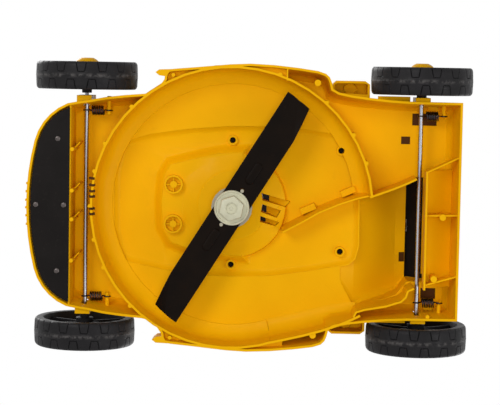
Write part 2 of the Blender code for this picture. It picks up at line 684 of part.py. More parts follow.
def deck_holes():
    holes = []
    half_slot = AXLE_RADIUS + AXLE_SLOT_CLEARANCE
    for side in (1, -1):
        for axle_u in (FRONT_AXLE_U, REAR_AXLE_U):
            x_low, x_high = sorted((side * 0.125, side * 0.175))
            low_z = AXLE_Z - AXLE_TRAVEL - half_slot
            high_z = AXLE_Z + AXLE_TRAVEL + half_slot
            holes.append(box_mesh("axle_slot", (x_low, axle_u - half_slot, low_z),
                                  (x_high, axle_u + half_slot, high_z)))
            for notch in (-AXLE_TRAVEL, 0.0, AXLE_TRAVEL):
                centre_u = axle_u + 0.0022
                holes.append(cylinder_mesh("notch", (x_low, centre_u, AXLE_Z + notch),
                                           (x_high, centre_u, AXLE_Z + notch), half_slot, 8))
    half = half_slot + 0.0005
    tall = AXLE_TRAVEL + AXLE_RADIUS + 0.0015
    holes.append(box_mesh("rear_axle_way", (-0.150, REAR_AXLE_U - half, RIM_Z - 0.01),
                          (0.150, REAR_AXLE_U + half, AXLE_Z + tall)))
    for x, u in plate_screw_places():
        holes.append(cylinder_mesh("plate_hole", (x, u, PLATE_Z), (x, u, PLATE_Z + 0.020), 0.0020, 8))
    for x, u in cover_screw_places():
        holes.append(cylinder_mesh("cover_hole", (x, u, PANEL_Z - 0.020),
                                   (x, u, MOTOR_SEAT_Z + 0.01), 0.0023, 8))
        holes.append(cylinder_mesh("cover_sink", (x, u, PANEL_Z - 0.020),
                                   (x, u, PANEL_Z - 0.001), 0.0048, 12))
    slots = [
        [(0.020, 0.043), (0.006, 0.087), (-0.002, 0.080), (0.009, 0.045)],
        [(0.003, 0.045), (-0.007, 0.073), (-0.018, 0.067), (-0.009, 0.043)],
        [(-0.015, 0.042), (-0.025, 0.071), (-0.031, 0.065), (-0.024, 0.042)],
    ]
    holes += [prism_mesh("air_slot", slot, 0.080, MOTOR_SEAT_Z + 0.01) for slot in slots]
    bearing_z = 0.090
    holes.append(turned_mesh("shaft_hole", [
        (0, MOTOR_SEAT_Z + 0.01), (BEARING_RADIUS + GAP, MOTOR_SEAT_Z + 0.01),
        (BEARING_RADIUS + GAP, bearing_z),
        (SHAFT_RADIUS + 0.0015, bearing_z), (SHAFT_RADIUS + 0.0015, 0.070), (0, 0.070)], 24))
    for x in (0.013, 0.021, 0.030, 0.040, -0.005, -0.013):
        holes.append(box_mesh("louvre", (x - 0.002, -0.2130, RIM_Z - 0.010),
                              (x + 0.002, -0.2035, RIM_Z + 0.012)))
    holes.append(box_mesh("ceiling_window", (0.0970, 0.2530, 0.095), (0.1085, 0.2665, 0.120)))
    holes.append(box_mesh("lip_window", (-0.0910, 0.2585, 0.150), (-0.0780, 0.2500, 0.180)))
    for side in (1, -1):
        holes.append(prism_mesh("window",
                                [(side * 0.128, 0.292), (side * 0.155, 0.292), (side * 0.155, 0.306),
                                 (side * 0.128, 0.320)], 0.060, 0.120))
        x, u = side * 0.1790, 0.1750
        lean = Vector((0, 0.64, 0.77)) * 0.03
        top = Vector((x, u, 0.126))
        holes.append(cylinder_mesh("handle_socket", top - lean, top + lean, 0.0068, 16))
    hinge, across = flap_hinge_point(), Vector((flap_half_width() + 0.012, 0, 0))
    holes.append(cylinder_mesh("rod_hole", hinge - across, hinge + across, HINGE_ROD_RADIUS + GAP, 12))
    return holes


def build_front_plate(coll, mat):
    """The black plate that closes the nose from below."""
    half = nose_arc(PLATE_INSET)
    half = [p for p in half if p[1] < PLATE_REAR_U - 0.004] + [(0.1450, PLATE_REAR_U)]
    outline = half + mirrored(half[:0:-1])
    plate = add_mesh("front_cover_plate",
                     prism_mesh("front_cover_plate", outline, PLATE_Z, PLATE_Z + PLATE_THICKNESS),
                     coll, mat, at_blade_axis())
    holes = [
        cylinder_mesh("hole", (x, u, PLATE_Z - 0.01), (x, u, PLATE_Z + 0.01), 0.0026, 16)
        for x, u in plate_screw_places()
    ]
    join_or_cut(plate, "DIFFERENCE", holes)
    return plate


def screw_mesh(name, head_radius, shank_radius, length, head_height):
    """A pan-head screw with a cross recess. Its head's seat is at z = 0 and it points up."""
    seat = -GAP
    profile = [
        (0, length), (shank_radius, length), (shank_radius, seat), (head_radius, seat),
        (head_radius * 0.7, seat - head_height), (0, seat - head_height),
    ]
    return turned_mesh(name, profile, 10)


def build_screws(coll, mat, dark):
    for i, (x, u) in enumerate(plate_screw_places()):
        mesh = screw_mesh("plate_screw", SCREW_HEAD_RADIUS, 0.0016, 0.014, 0.0022)
        add_mesh(f"plate_screw_{i + 1}", mesh, coll, mat, at_blade_axis(x, u, PLATE_Z))
    for i, (x, u) in enumerate(cover_screw_places()):
        mesh = screw_mesh("cover_screw", 0.0042, 0.0019, 0.024, 0.0025)
        add_mesh(f"cover_screw_{i + 1}", mesh, coll, dark, at_blade_axis(x, u, PANEL_Z - 0.001))


def wheel_mesh():
    half = WHEEL_WIDTH / 2
    bore = AXLE_RADIUS + AXLE_FIT
    profile = [
        (0.0720, half), (0.0752, half - 0.0050), (WHEEL_RADIUS, 0.0),
        (0.0752, -half + 0.0050), (0.0720, -half),
        (0.0616, -half), (0.0606, 0.0060), (HUB_RADIUS + 0.001, 0.0080), (HUB_RADIUS, -half + 0.0005),
        (bore, -half + 0.0005), (bore, 0.0125), (0.0225, 0.0125), (0.0560, 0.0115), (0.0620, half),
    ]
    wheel = add_mesh("wheel_form", turned_mesh("wheel_form", profile, WHEEL_STEPS), CUTTERS)
    spokes = []
    for i in range(SPOKES):
        spoke = box_mesh("spoke", (HUB_RADIUS - 0.002, -0.0012, -0.0140), (0.0612, 0.0012, 0.0090))
        spoke.transform(Matrix.Rotation(2 * math.pi * (i + 0.5) / SPOKES, 4, "Z"))
        spokes.append(spoke)
    join_or_cut(wheel, "UNION", spokes)
    mesh = baked_mesh(wheel)
    bpy.data.objects.remove(wheel, do_unlink=True)
    return mesh


def hubcap_mesh():
    inner = 0.0125 + GAP
    profile = [
        (0, 0.0262), (0.0130, 0.0240), (HUBCAP_RADIUS, 0.0170), (HUBCAP_RADIUS, inner),
        (HUBCAP_RADIUS - 0.002, inner), (HUBCAP_RADIUS - 0.002, 0.0160), (0.0120, 0.0222), (0, 0.0242),
    ]
    return turned_mesh("hubcap", profile, 16)


def retainer_mesh():
    """The push-on cap that holds a wheel on its axle."""
    bore = AXLE_RADIUS + 0.0002
    low = 0.0125 + GAP
    profile = [(0.0085, 0.0150), (0.0085, low), (bore, low), (bore, 0.0185), (0.0060, 0.0185)]
    return turned_mesh("retainer", profile, 10)


CORNERS = {
    "front_left": (1, FRONT_AXLE_U),
    "front_right": (-1, FRONT_AXLE_U),
    "rear_left": (1, REAR_AXLE_U),
    "rear_right": (-1, REAR_AXLE_U),
}


def build_running_gear(coll, mats):
    wheel, cap, retainer = wheel_mesh(), hubcap_mesh(), retainer_mesh()
    for name, (side, axle_u) in CORNERS.items():
        place = at_blade_axis(side * WHEEL_TRACK / 2, axle_u, AXLE_Z)
        turn = (0, side * math.pi / 2, 0)
        smooth(add_mesh(f"{name}_wheel", wheel, coll, mats["black"], place, turn), 40)
        smooth(add_mesh(f"{name}_hubcap", cap, coll, mats["yellow"], place, turn), 50)
        add_mesh(f"{name}_retainer", retainer, coll, mats["steel"], place, turn)
    reach = WHEEL_TRACK / 2 + 0.0185
    for name, axle_u in (("front_axle", FRONT_AXLE_U), ("rear_axle", REAR_AXLE_U)):
        rod = cylinder_mesh(name, (-reach, 0, 0), (reach, 0, 0), AXLE_RADIUS, 16)
        smooth(add_mesh(name, rod, coll, mats["zinc"], at_blade_axis(0, axle_u, AXLE_Z)), 40)


def spring_points():
    """An axle loop, the closely wound coil and a loop for the peg, along +Y from the axle at the origin."""
    def loop(centre_u, first, last):
        return [
            (0.0, centre_u + SPRING_LOOP_RADIUS * math.cos(a), SPRING_LOOP_RADIUS * math.sin(a))
            for a in np.radians(np.linspace(first, last, 7))
        ]

    start_u, per_turn = SPRING_LEAD, 8
    count = SPRING_TURNS * per_turn
    coil = []
    for i in range(count + 1):
        turn = 2 * math.pi * i / per_turn
        coil.append((
            SPRING_COIL_RADIUS * math.sin(turn),
            start_u + SPRING_PITCH * i / per_turn,
            SPRING_COIL_RADIUS * math.cos(turn),
        ))
    end_u = start_u + SPRING_PITCH * SPRING_TURNS + SPRING_LEAD
    return loop(0.0, 330, 62) + coil + loop(end_u, 118, -150)


def least_gap(points, wire, turns_apart):
    """The least gap between stretches of the wire that are further apart along it than turns_apart points."""
    line = np.array(points)
    between = np.linalg.norm(line[:, None] - line[None], axis=2)
    apart = np.abs(np.subtract.outer(np.arange(len(line)), np.arange(len(line)))) > turns_apart
    return between[apart].min() - wire


def build_springs(coll, mat):
    points = spring_points()
    print("spring: least gap to itself, mm:", round(1000 * least_gap(points, SPRING_WIRE, 5), 2))
    for name, (side, axle_u) in CORNERS.items():
        place = at_blade_axis(side * SPRING_X, axle_u, AXLE_Z)
        add_wire(f"{name}_spring", points, SPRING_WIRE, coll, mat, place)


def add_wire(name, points, thickness, coll, mat, place):
    """One unbroken round wire through the points."""
    curve = bpy.data.curves.new(name, "CURVE")
    curve.dimensions = "3D"
    curve.bevel_depth = thickness / 2
    curve.bevel_resolution = 1
    curve.use_fill_caps = True
    line = curve.splines.new("POLY")
    line.points.add(len(points) - 1)
    for target, point in zip(line.points, points):
        target.co = (*point, 1.0)
    curve.materials.append(mat)
    wire = bpy.data.objects.new(name, curve)
    wire.location = place
    coll.objects.link(wire)


def blade_mesh():
    """A bar with a sharpened leading edge and a lifted trailing wing at each end."""
    half_w, t = BLADE_WIDTH / 2, BLADE_THICKNESS
    half_l = BLADE_LENGTH / 2
    stations = [WING_START * 0.36, WING_START, WING_START + 0.014, half_l - 0.018, half_l]
    lifts = [0.0, 0.0, WING_LIFT * 0.5, WING_LIFT, WING_LIFT]
    edges = [1.0, 1.0, 0.25, 0.25, 0.25]
    ends = list(zip(stations, lifts, edges))
    rows = [(-s, lift, edge, -1) for s, lift, edge in ends[::-1]]
    rows += [(s, lift, edge, 1) for s, lift, edge in ends]
    rings = []
    for s, lift, edge, end in rows:
        across = [(-half_w, 0.0), (-half_w + 0.010, 0.0), (0.002, 0.0),
                  (half_w - 0.007, lift * 0.7), (half_w, lift)]
        lower = [(v, z) for v, z in across]
        upper = [(v, z + t * (edge if i == 0 else 1.0)) for i, (v, z) in enumerate(across)]
        rings.append([(s, end * v, BLADE_Z + z) for v, z in lower + upper[::-1]])
    return rings


def build_blade(coll, mats):
    rings = blade_mesh()
    ends = [loft_mesh("blade_end", half) for half in (rings[: len(rings) // 2], rings[len(rings) // 2 :])]
    reach = WING_START * 0.36 + 0.002
    half_w = BLADE_WIDTH / 2
    middle = box_mesh("blade", (-reach, -half_w, BLADE_Z), (reach, half_w, BLADE_Z + BLADE_THICKNESS))
    blade = add_mesh("blade", middle, coll, mats["blade"], at_blade_axis())
    for start, end, across in BLADE_RIBS:
        ends.append(cylinder_mesh("rib", (start, across, BLADE_Z), (end, across, BLADE_Z),
                                  BLADE_RIB_RADIUS, 8))
    join_or_cut(blade, "UNION", ends)
    holes = [cylinder_mesh("hole", (0, 0, BLADE_Z - 0.01), (0, 0, BLADE_Z + 0.01),
                           BOLT_SHANK_RADIUS + GAP, 24)]
    for side in (1, -1):
        x = side * DRIVE_PIN_OFFSET
        holes.append(cylinder_mesh("hole", (x, 0, BLADE_Z - 0.01), (x, 0, BLADE_Z + 0.01),
                                   DRIVE_PIN_RADIUS + GAP, 16))
    join_or_cut(blade, "DIFFERENCE", holes)
    mesh = baked_mesh(blade)
    blade.modifiers.clear()
    mesh.transform(Matrix.Rotation(BLADE_ANGLE, 4, "Z"))
    blade.data = mesh
    carrier_low = BLADE_Z + BLADE_THICKNESS + GAP
    profile = [
        (0.022, 0.0640), (0.024, 0.0570), (CARRIER_RADIUS, 0.0560), (CARRIER_RADIUS, carrier_low),
        (BOLT_SHANK_RADIUS + 0.0008, carrier_low), (BOLT_SHANK_RADIUS + 0.0008, 0.0560),
        (SHAFT_RADIUS + GAP, 0.0560),
        (SHAFT_RADIUS + GAP, 0.0640),
    ]
    carrier = add_mesh("blade_carrier", turned_mesh("blade_carrier", profile, 20), coll,
                       mats["carrier"], at_blade_axis())
    pins = []
    for side in (1, -1):
        offset = side * DRIVE_PIN_OFFSET
        x, u = offset * math.cos(BLADE_ANGLE), offset * math.sin(BLADE_ANGLE)
        pins.append(cylinder_mesh("pin", (x, u, BLADE_Z - 0.0022), (x, u, 0.0560), DRIVE_PIN_RADIUS, 16))
    join_or_cut(carrier, "UNION", pins)
    bolt = add_mesh("blade_bolt", bolt_mesh(), coll, mats["ivory"], at_blade_axis())
    dimple = cylinder_mesh("dimple", (0, 0, 0.0200), (0, 0, 0.0305), 0.0081, 24)
    hexagon = cylinder_mesh("hexagon", (0, 0, 0.0270), (0, 0, 0.0410), BOLT_HEX_FLATS / math.sqrt(3), 6)
    join_or_cut(bolt, "UNION", [hexagon])
    join_or_cut(bolt, "DIFFERENCE", [dimple])


def bolt_mesh():
    top = BLADE_Z - GAP
    r = BOLT_FLANGE_RADIUS
    profile = [
        (0, 0.0720), (BOLT_SHANK_RADIUS, 0.0710), (BOLT_SHANK_RADIUS, top), (r, top), (r, top - 0.0025),
        (r - 0.0015, top - 0.0045), (0, top - 0.0045),
    ]
    return turned_mesh("blade_bolt", profile, 24)


def build_motor(coll, mats):
    """Shaft, bearings, armature, field housing and fan, all on the blade's axis."""
    fit = 0.00025
    bearing_low = 0.090 + GAP
    seat = MOTOR_SEAT_Z + 0.002 + GAP
    top = seat + MOTOR_HEIGHT
    shaft_top = top + 0.030
    bore = BOLT_SHANK_RADIUS + GAP

    def add(name, profile, steps, mat):
        return add_mesh(name, turned_mesh(name, profile, steps), coll, mat, at_blade_axis())

    add("motor_shaft", [
        (0, shaft_top), (SHAFT_RADIUS - 0.003, shaft_top), (SHAFT_RADIUS - 0.003, top - 0.004),
        (SHAFT_RADIUS, top - 0.004), (SHAFT_RADIUS, 0.0563), (bore, 0.0563), (bore, 0.0760),
        (0, 0.0760)], 20, mats["steel"])
    add("lower_bearing", [
        (BEARING_RADIUS, bearing_low + BEARING_HEIGHT), (BEARING_RADIUS, bearing_low),
        (SHAFT_RADIUS + fit, bearing_low),
        (SHAFT_RADIUS + fit, bearing_low + BEARING_HEIGHT)], 20, mats["steel"])
    add("armature", [
        (0.031, top - 0.020), (0.031, seat + 0.016), (SHAFT_RADIUS + fit, seat + 0.016),
        (SHAFT_RADIUS + fit, top - 0.020)], 20, mats["copper"])
    add("motor_body", [
        (0.030, top), (MOTOR_RADIUS - 0.006, top), (MOTOR_RADIUS, top - 0.008), (MOTOR_RADIUS, seat + 0.006),
        (MOTOR_RADIUS + 0.008, seat + 0.006), (MOTOR_RADIUS + 0.008, seat), (0.038, seat),
        (0.034, seat + 0.008),
        (0.034, top - 0.014), (0.0145 + GAP, top - 0.014), (0.0145 + GAP, top - 0.005), (0.018, top - 0.004)],
        20, mats["steel"])
    add("upper_bearing", [
        (0.0145, top - 0.0055), (0.0145, top - 0.0135), (SHAFT_RADIUS + fit, top - 0.0135),
        (SHAFT_RADIUS + fit, top - 0.0055)], 24, mats["steel"])
    hub = SHAFT_RADIUS - 0.003
    fan = add("cooling_fan", [
        (0.013, top + 0.022), (0.013, top + 0.006), (0.052, top + 0.006), (0.052, top + 0.0035),
        (hub + fit, top + 0.0035),
        (hub + fit, top + 0.022)], 24, mats["black"])
    vanes = []
    for i in range(8):
        vane = box_mesh("vane", (0.0115, -0.0008, top + 0.004), (0.050, 0.0008, top + 0.019))
        vane.transform(Matrix.Rotation(2 * math.pi * i / 8, 4, "Z"))
        vanes.append(vane)
    join_or_cut(fan, "UNION", vanes)
    return top


def oval(half_x, half_u, z, middle_u=0.0, count=24, power=3.4):
    """A superellipse ring about the motor platform's middle line."""
    ring = []
    for i in range(count):
        a = 2 * math.pi * i / count
        c, s = math.cos(a), math.sin(a)
        x = half_x * math.copysign(abs(c) ** (2 / power), c)
        u = half_u * math.copysign(abs(s) ** (2 / power), s)
        ring.append((PLATFORM_X + x, middle_u + u, z))
    return ring


def cover_sections(low, high, inside):
    """Half width, half length, height and middle of the cover's sections, outside or inside."""
    rows = [(COVER_HALF_X, COVER_HALF_U, low, COVER_U), (COVER_HALF_X, COVER_HALF_U, low + 0.012, COVER_U),
            (0.102, 0.145, low + 0.017, COVER_U), (0.096, 0.121, 0.185, 0.019), (0.089, 0.100, 0.222, 0.008),
            (0.073, 0.078, high - 0.006, 0.006), (0.050, 0.054, high, 0.006)]
    if not inside:
        return [oval(a, b, z, u) for a, b, z, u in rows]
    rows[0] = (*rows[0][:2], low - 0.01, rows[0][3])
    return [
        oval(a - COVER_WALL, b - COVER_WALL, z - (COVER_WALL if z > low + 0.015 else 0), u)
        for a, b, z, u in rows
    ]


def build_motor_cover(coll, mats, motor_top):
    """The housing over the motor: an open-bottomed shell with air slots, screwed on from the chamber."""
    low = MOTOR_SEAT_Z + GAP
    high = motor_top + 0.052
    cover = add_mesh("motor_cover", loft_mesh("motor_cover", cover_sections(low, high, False)),
                     coll, mats["cover"], at_blade_axis())
    slots = []
    for side in (1, -1):
        for i in range(6):
            u = -0.044 + 0.020 * i
            x_low, x_high = sorted((PLATFORM_X + side * 0.075, PLATFORM_X + side * 0.115))
            slots.append(box_mesh("slot", (x_low, u - 0.0035, low + 0.034),
                                  (x_high, u + 0.0035, low + 0.070)))
    posts = []
    for x, u in cover_screw_places():
        posts.append(cylinder_mesh("post", (x, u, low + 0.0003), (x, u, low + 0.024), 0.0060, 12))
        dx, du = x - PLATFORM_X, u - COVER_U
        across, along = abs(dx / (COVER_HALF_X - COVER_WALL / 2)), abs(du / (COVER_HALF_U - COVER_WALL / 2))
        reach = (across ** 3.4 + along ** 3.4) ** (-1 / 3.4)
        wall = (PLATFORM_X + dx * reach, COVER_U + du * reach)
        posts.append(prism_mesh("post_rib", band([(x, u), wall], 0.0024), low + 0.0008, low + 0.009))
    holes = [
        cylinder_mesh("hole", (x, u, low - 0.01), (x, u, low + 0.020), 0.0022, 10)
        for x, u in cover_screw_places()
    ]
    for operation, operands in (
        ("DIFFERENCE", [loft_mesh("cover_hollow", cover_sections(low, high, True)), *slots]),
        ("UNION", posts),
        ("DIFFERENCE", holes),
    ):
        join_or_cut(cover, operation, operands)
    smooth(cover, 35)
    return high


def build_carry_handle(coll, mats, cover_top):
    """A grip across the top of the motor cover."""
    curve = bpy.data.curves.new("grip_line", "CURVE")
    curve.dimensions = "3D"
    curve.bevel_depth = 0.0095
    curve.bevel_resolution = 3
    curve.use_fill_caps = True
    line = curve.splines.new("POLY")
    rise, half = 0.034, 0.046
    points = [(0, -half, 0), (0, -half, rise - 0.014), (0, -half + 0.004, rise - 0.005),
              (0, -half + 0.014, rise),
              (0, half - 0.014, rise), (0, half - 0.004, rise - 0.005), (0, half, rise - 0.014), (0, half, 0)]
    line.points.add(len(points) - 1)
    for target, point in zip(line.points, points):
        target.co = (*point, 1.0)
    grip = bpy.data.objects.new("carry_handle", curve)
    grip.location = at_blade_axis(PLATFORM_X, 0.006, cover_top + GAP)
    curve.materials.append(mats["black"])
    coll.objects.link(grip)


def build_flap(coll, mats):
    """The hinged flap that lies on the outlet's cheeks, its rod and its return spring."""
    hinge, half = flap_hinge_point(), flap_half_width()
    place = at_blade_axis(hinge.x, hinge.y, hinge.z)
    length = CHEEK_RUN * math.sqrt(2) + HINGE_BACK + 0.006
    under = GAP - HINGE_LIFT
    top = under + FLAP_THICKNESS
    panel = box_mesh("discharge_flap", (-half, 0.0, under), (half, length, top))
    flap = add_mesh("discharge_flap", panel, coll, mats["black"], place)
    details = [box_mesh("edge", (-half + 0.0005, length - 0.0035, top - 0.001),
                        (half - 0.0005, length - 0.0005, top + 0.004))]
    for x in (-half + 0.016, half - 0.016):
        details.append(cylinder_mesh("knuckle", (x - 0.0155, 0, 0), (x + 0.0155, 0, 0), KNUCKLE_RADIUS, 16))
    for x in np.linspace(-half + 0.04, half - 0.04, 3):
        details.append(box_mesh("rib", (x - 0.001, 0.030, top - 0.001),
                                (x + 0.001, length - 0.002, top + 0.003)))
    join_or_cut(flap, "UNION", details)
    across = Vector((half + 0.01, 0, 0))
    spring_half = FLAP_SPRING_TURNS * FLAP_SPRING_PITCH / 2 + 0.003
    spring_reach = FLAP_SPRING_RADIUS + FLAP_SPRING_WIRE / 2 + 0.001
    notch = box_mesh("notch", (-spring_half, -0.01, -0.01), (spring_half, spring_reach, 0.01))
    join_or_cut(flap, "DIFFERENCE",
                [cylinder_mesh("hole", -across, across, HINGE_ROD_RADIUS + GAP, 12), notch])
    mesh = baked_mesh(flap)
    flap.modifiers.clear()
    mesh.transform(Matrix.Rotation(-math.pi / 4, 4, "X"))
    flap.data = mesh
    reach = Vector((half + LUG_WIDTH + 3 * GAP, 0, 0))
    rod = cylinder_mesh("flap_rod", -reach, reach, HINGE_ROD_RADIUS, 12)
    smooth(add_mesh("flap_rod", rod, coll, mats["zinc"], place), 40)
    points = flap_spring_points(top)
    print("flap spring: least gap to itself, mm:", round(1000 * least_gap(points, FLAP_SPRING_WIRE, 4), 2))
    add_wire("flap_spring", points, FLAP_SPRING_WIRE, coll, mats["spring"], place)


def flap_spring_points(flap_top):
    """A coil about the rod at the origin, with one leg on the bar above the outlet and one on the flap."""
    per_turn = 8
    width = FLAP_SPRING_TURNS * FLAP_SPRING_PITCH
    steps = int((FLAP_SPRING_TURNS - 0.875) * per_turn)
    rest = FLAP_SPRING_WIRE / 2 + GAP
    bar = BROW_TOP_Z - flap_hinge_point().z + rest
    points = [(-width / 2 - 0.002, -0.0150, bar), (-width / 2 - 0.001, -0.0095, bar)]
    for i in range(steps + 1):
        turn = math.pi / 2 - 2 * math.pi * i / per_turn
        along = -width / 2 + FLAP_SPRING_PITCH * i / per_turn
        points.append((along, FLAP_SPRING_RADIUS * math.cos(turn), FLAP_SPRING_RADIUS * math.sin(turn)))
    last = points[-1][0] + 0.001
    slope = Matrix.Rotation(-math.pi / 4, 3, "X")
    points += [tuple(slope @ Vector((last, along, flap_top + rest))) for along in (0.0120, 0.0200)]
    return points


clear_scene()
PARTS = new_collection("lawn_mower")
CUTTERS = new_collection("cutters", hidden=True)
MATS = {
    "yellow": new_material("deck_yellow", (0.95, 0.52, 0.01), 0.38),
    "black": new_material("black_plastic", (0.020, 0.019, 0.020), 0.45),
    "cover": new_material("cover_black", (0.028, 0.027, 0.028), 0.40),
    "zinc": new_material("zinc_rod", (0.62, 0.62, 0.60), 0.28, 1.0),
    "steel": new_material("plain_steel", (0.42, 0.42, 0.43), 0.35, 1.0),
    "blade": new_material("blade_steel", (0.030, 0.022, 0.016), 0.42, 0.6),
    "ivory": new_material("bolt_ivory", (0.62, 0.60, 0.44), 0.40),
    "carrier": new_material("carrier_grey", (0.50, 0.50, 0.47), 0.45),
    "copper": new_material("armature_copper", (0.45, 0.22, 0.10), 0.45, 0.6),
    "spring": new_material("spring_black", (0.025, 0.025, 0.027), 0.35, 0.7),
}
build_front_plate(PARTS, MATS["black"])
build_screws(PARTS, MATS["steel"], MATS["black"])
build_running_gear(PARTS, MATS)
build_springs(PARTS, MATS["spring"])
build_blade(PARTS, MATS)
MOTOR_TOP = build_motor(PARTS, MATS)
COVER_TOP = build_motor_cover(PARTS, MATS, MOTOR_TOP)
build_carry_handle(PARTS, MATS, COVER_TOP)
build_flap(PARTS, MATS)
build_deck(PARTS, MATS["yellow"])
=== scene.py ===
import math

import bmesh
import bpy
from mathutils import Matrix, Vector
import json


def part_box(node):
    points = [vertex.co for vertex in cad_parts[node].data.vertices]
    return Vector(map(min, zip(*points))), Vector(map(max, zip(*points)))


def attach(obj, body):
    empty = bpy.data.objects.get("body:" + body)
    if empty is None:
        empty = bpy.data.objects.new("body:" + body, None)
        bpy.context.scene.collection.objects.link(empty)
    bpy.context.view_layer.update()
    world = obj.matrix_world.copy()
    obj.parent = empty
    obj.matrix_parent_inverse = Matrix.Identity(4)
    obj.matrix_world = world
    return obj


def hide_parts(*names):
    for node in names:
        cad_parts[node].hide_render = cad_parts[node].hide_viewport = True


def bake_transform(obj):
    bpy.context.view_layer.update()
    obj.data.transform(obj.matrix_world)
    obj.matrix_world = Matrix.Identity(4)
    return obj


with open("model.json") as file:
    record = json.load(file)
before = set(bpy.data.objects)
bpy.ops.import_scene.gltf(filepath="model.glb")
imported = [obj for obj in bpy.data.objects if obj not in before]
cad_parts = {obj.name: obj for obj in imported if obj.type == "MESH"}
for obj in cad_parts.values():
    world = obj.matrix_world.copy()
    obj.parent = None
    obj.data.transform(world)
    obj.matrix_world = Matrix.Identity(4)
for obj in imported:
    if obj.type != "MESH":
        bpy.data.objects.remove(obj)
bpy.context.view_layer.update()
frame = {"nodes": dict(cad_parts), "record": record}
NODES = frame["nodes"]

BLADE_AXIS_Y = -0.0245
SIDES = {"left": 1, "right": -1}
AXLES = ("front", "rear")

# Edges that turn by more than this many degrees are shaded sharp
BLADE_SHARP, CRISP, WHEEL_SHARP, SHARP, SOFT, WIRE_SHARP = 20, 30, 32, 35, 40, 50
MERGE_DISTANCE = 1e-6
FLAT_ANGLE = math.radians(1.0)

# Camera, as fitted to the photograph of the underside
CAMERA_PLACE = (0.2035, 0.0546, -2.4507)
CAMERA_TILT, CAMERA_SWING, CAMERA_ROLL = math.radians(4.47), math.radians(1.19), math.radians(1.13)
FOCAL_PIXELS, PHOTO_WIDTH, SENSOR_WIDTH = 1685.1, 500, 36.0

# Lamps, all turned to the deck: place, size, power, and whether shiny surfaces mirror them
LAMP_TARGET = Vector((0, 0, 0.08))
LAMPS = {
    "key_below": ((0.9, -0.9, -1.9), 0.9, 15, True),
    "front_below": ((0.1, 0.1, -2.7), 1.0, 25, False),
    "fill_below": ((-0.4, 1.6, -1.4), 1.4, 9, True),
    "key_above": ((1.3, -1.5, 2.2), 1.6, 42, True),
    "fill_above": ((-1.6, 1.2, 1.8), 1.8, 24, True),
}
WORLD_LIGHT, WORLD_SEEN = 0.3, 1.0
FLOOR_REACH = 6.0

# Sockets of Blender's mix node for colours: factor, A and B, and the result
MIX_INPUTS, MIX_RESULT = (0, 6, 7), 2


def add_object(name, data):
    obj = bpy.data.objects.new(name, data)
    bpy.context.scene.collection.objects.link(obj)
    return obj


def turned_pair(first, second, angle):
    """Two directions at right angles, turned by the angle in their own plane."""
    cos, sin = math.cos(angle), math.sin(angle)
    return first * cos - second * sin, second * cos + first * sin


def make_camera():
    """Looks up at the underside, with the mower's rear at the right and its left side at the top."""
    right, up, ahead = Vector((0, 1, 0)), Vector((1, 0, 0)), Vector((0, 0, 1))
    ahead, up = turned_pair(ahead, up, CAMERA_TILT)
    ahead, right = turned_pair(ahead, right, CAMERA_SWING)
    up, right = turned_pair(up, right, CAMERA_ROLL)
    data = bpy.data.cameras.new("camera")
    data.sensor_width = SENSOR_WIDTH
    data.lens = SENSOR_WIDTH * FOCAL_PIXELS / PHOTO_WIDTH
    data.clip_start = 0.05
    data.clip_end = 50
    camera = add_object("camera", data)
    place = Matrix((right, up, -ahead)).transposed().to_4x4()
    place.translation = Vector(CAMERA_PLACE)
    camera.matrix_world = place
    bpy.context.scene.camera = camera


def make_lamps():
    for name, (place, size, power, glossy) in LAMPS.items():
        data = bpy.data.lights.new(name, "AREA")
        data.shape = "DISK"
        data.size = size
        data.energy = power
        lamp = add_object(name, data)
        lamp.location = place
        lamp.rotation_euler = (LAMP_TARGET - Vector(place)).to_track_quat("-Z", "Y").to_euler()
        lamp.visible_glossy = glossy


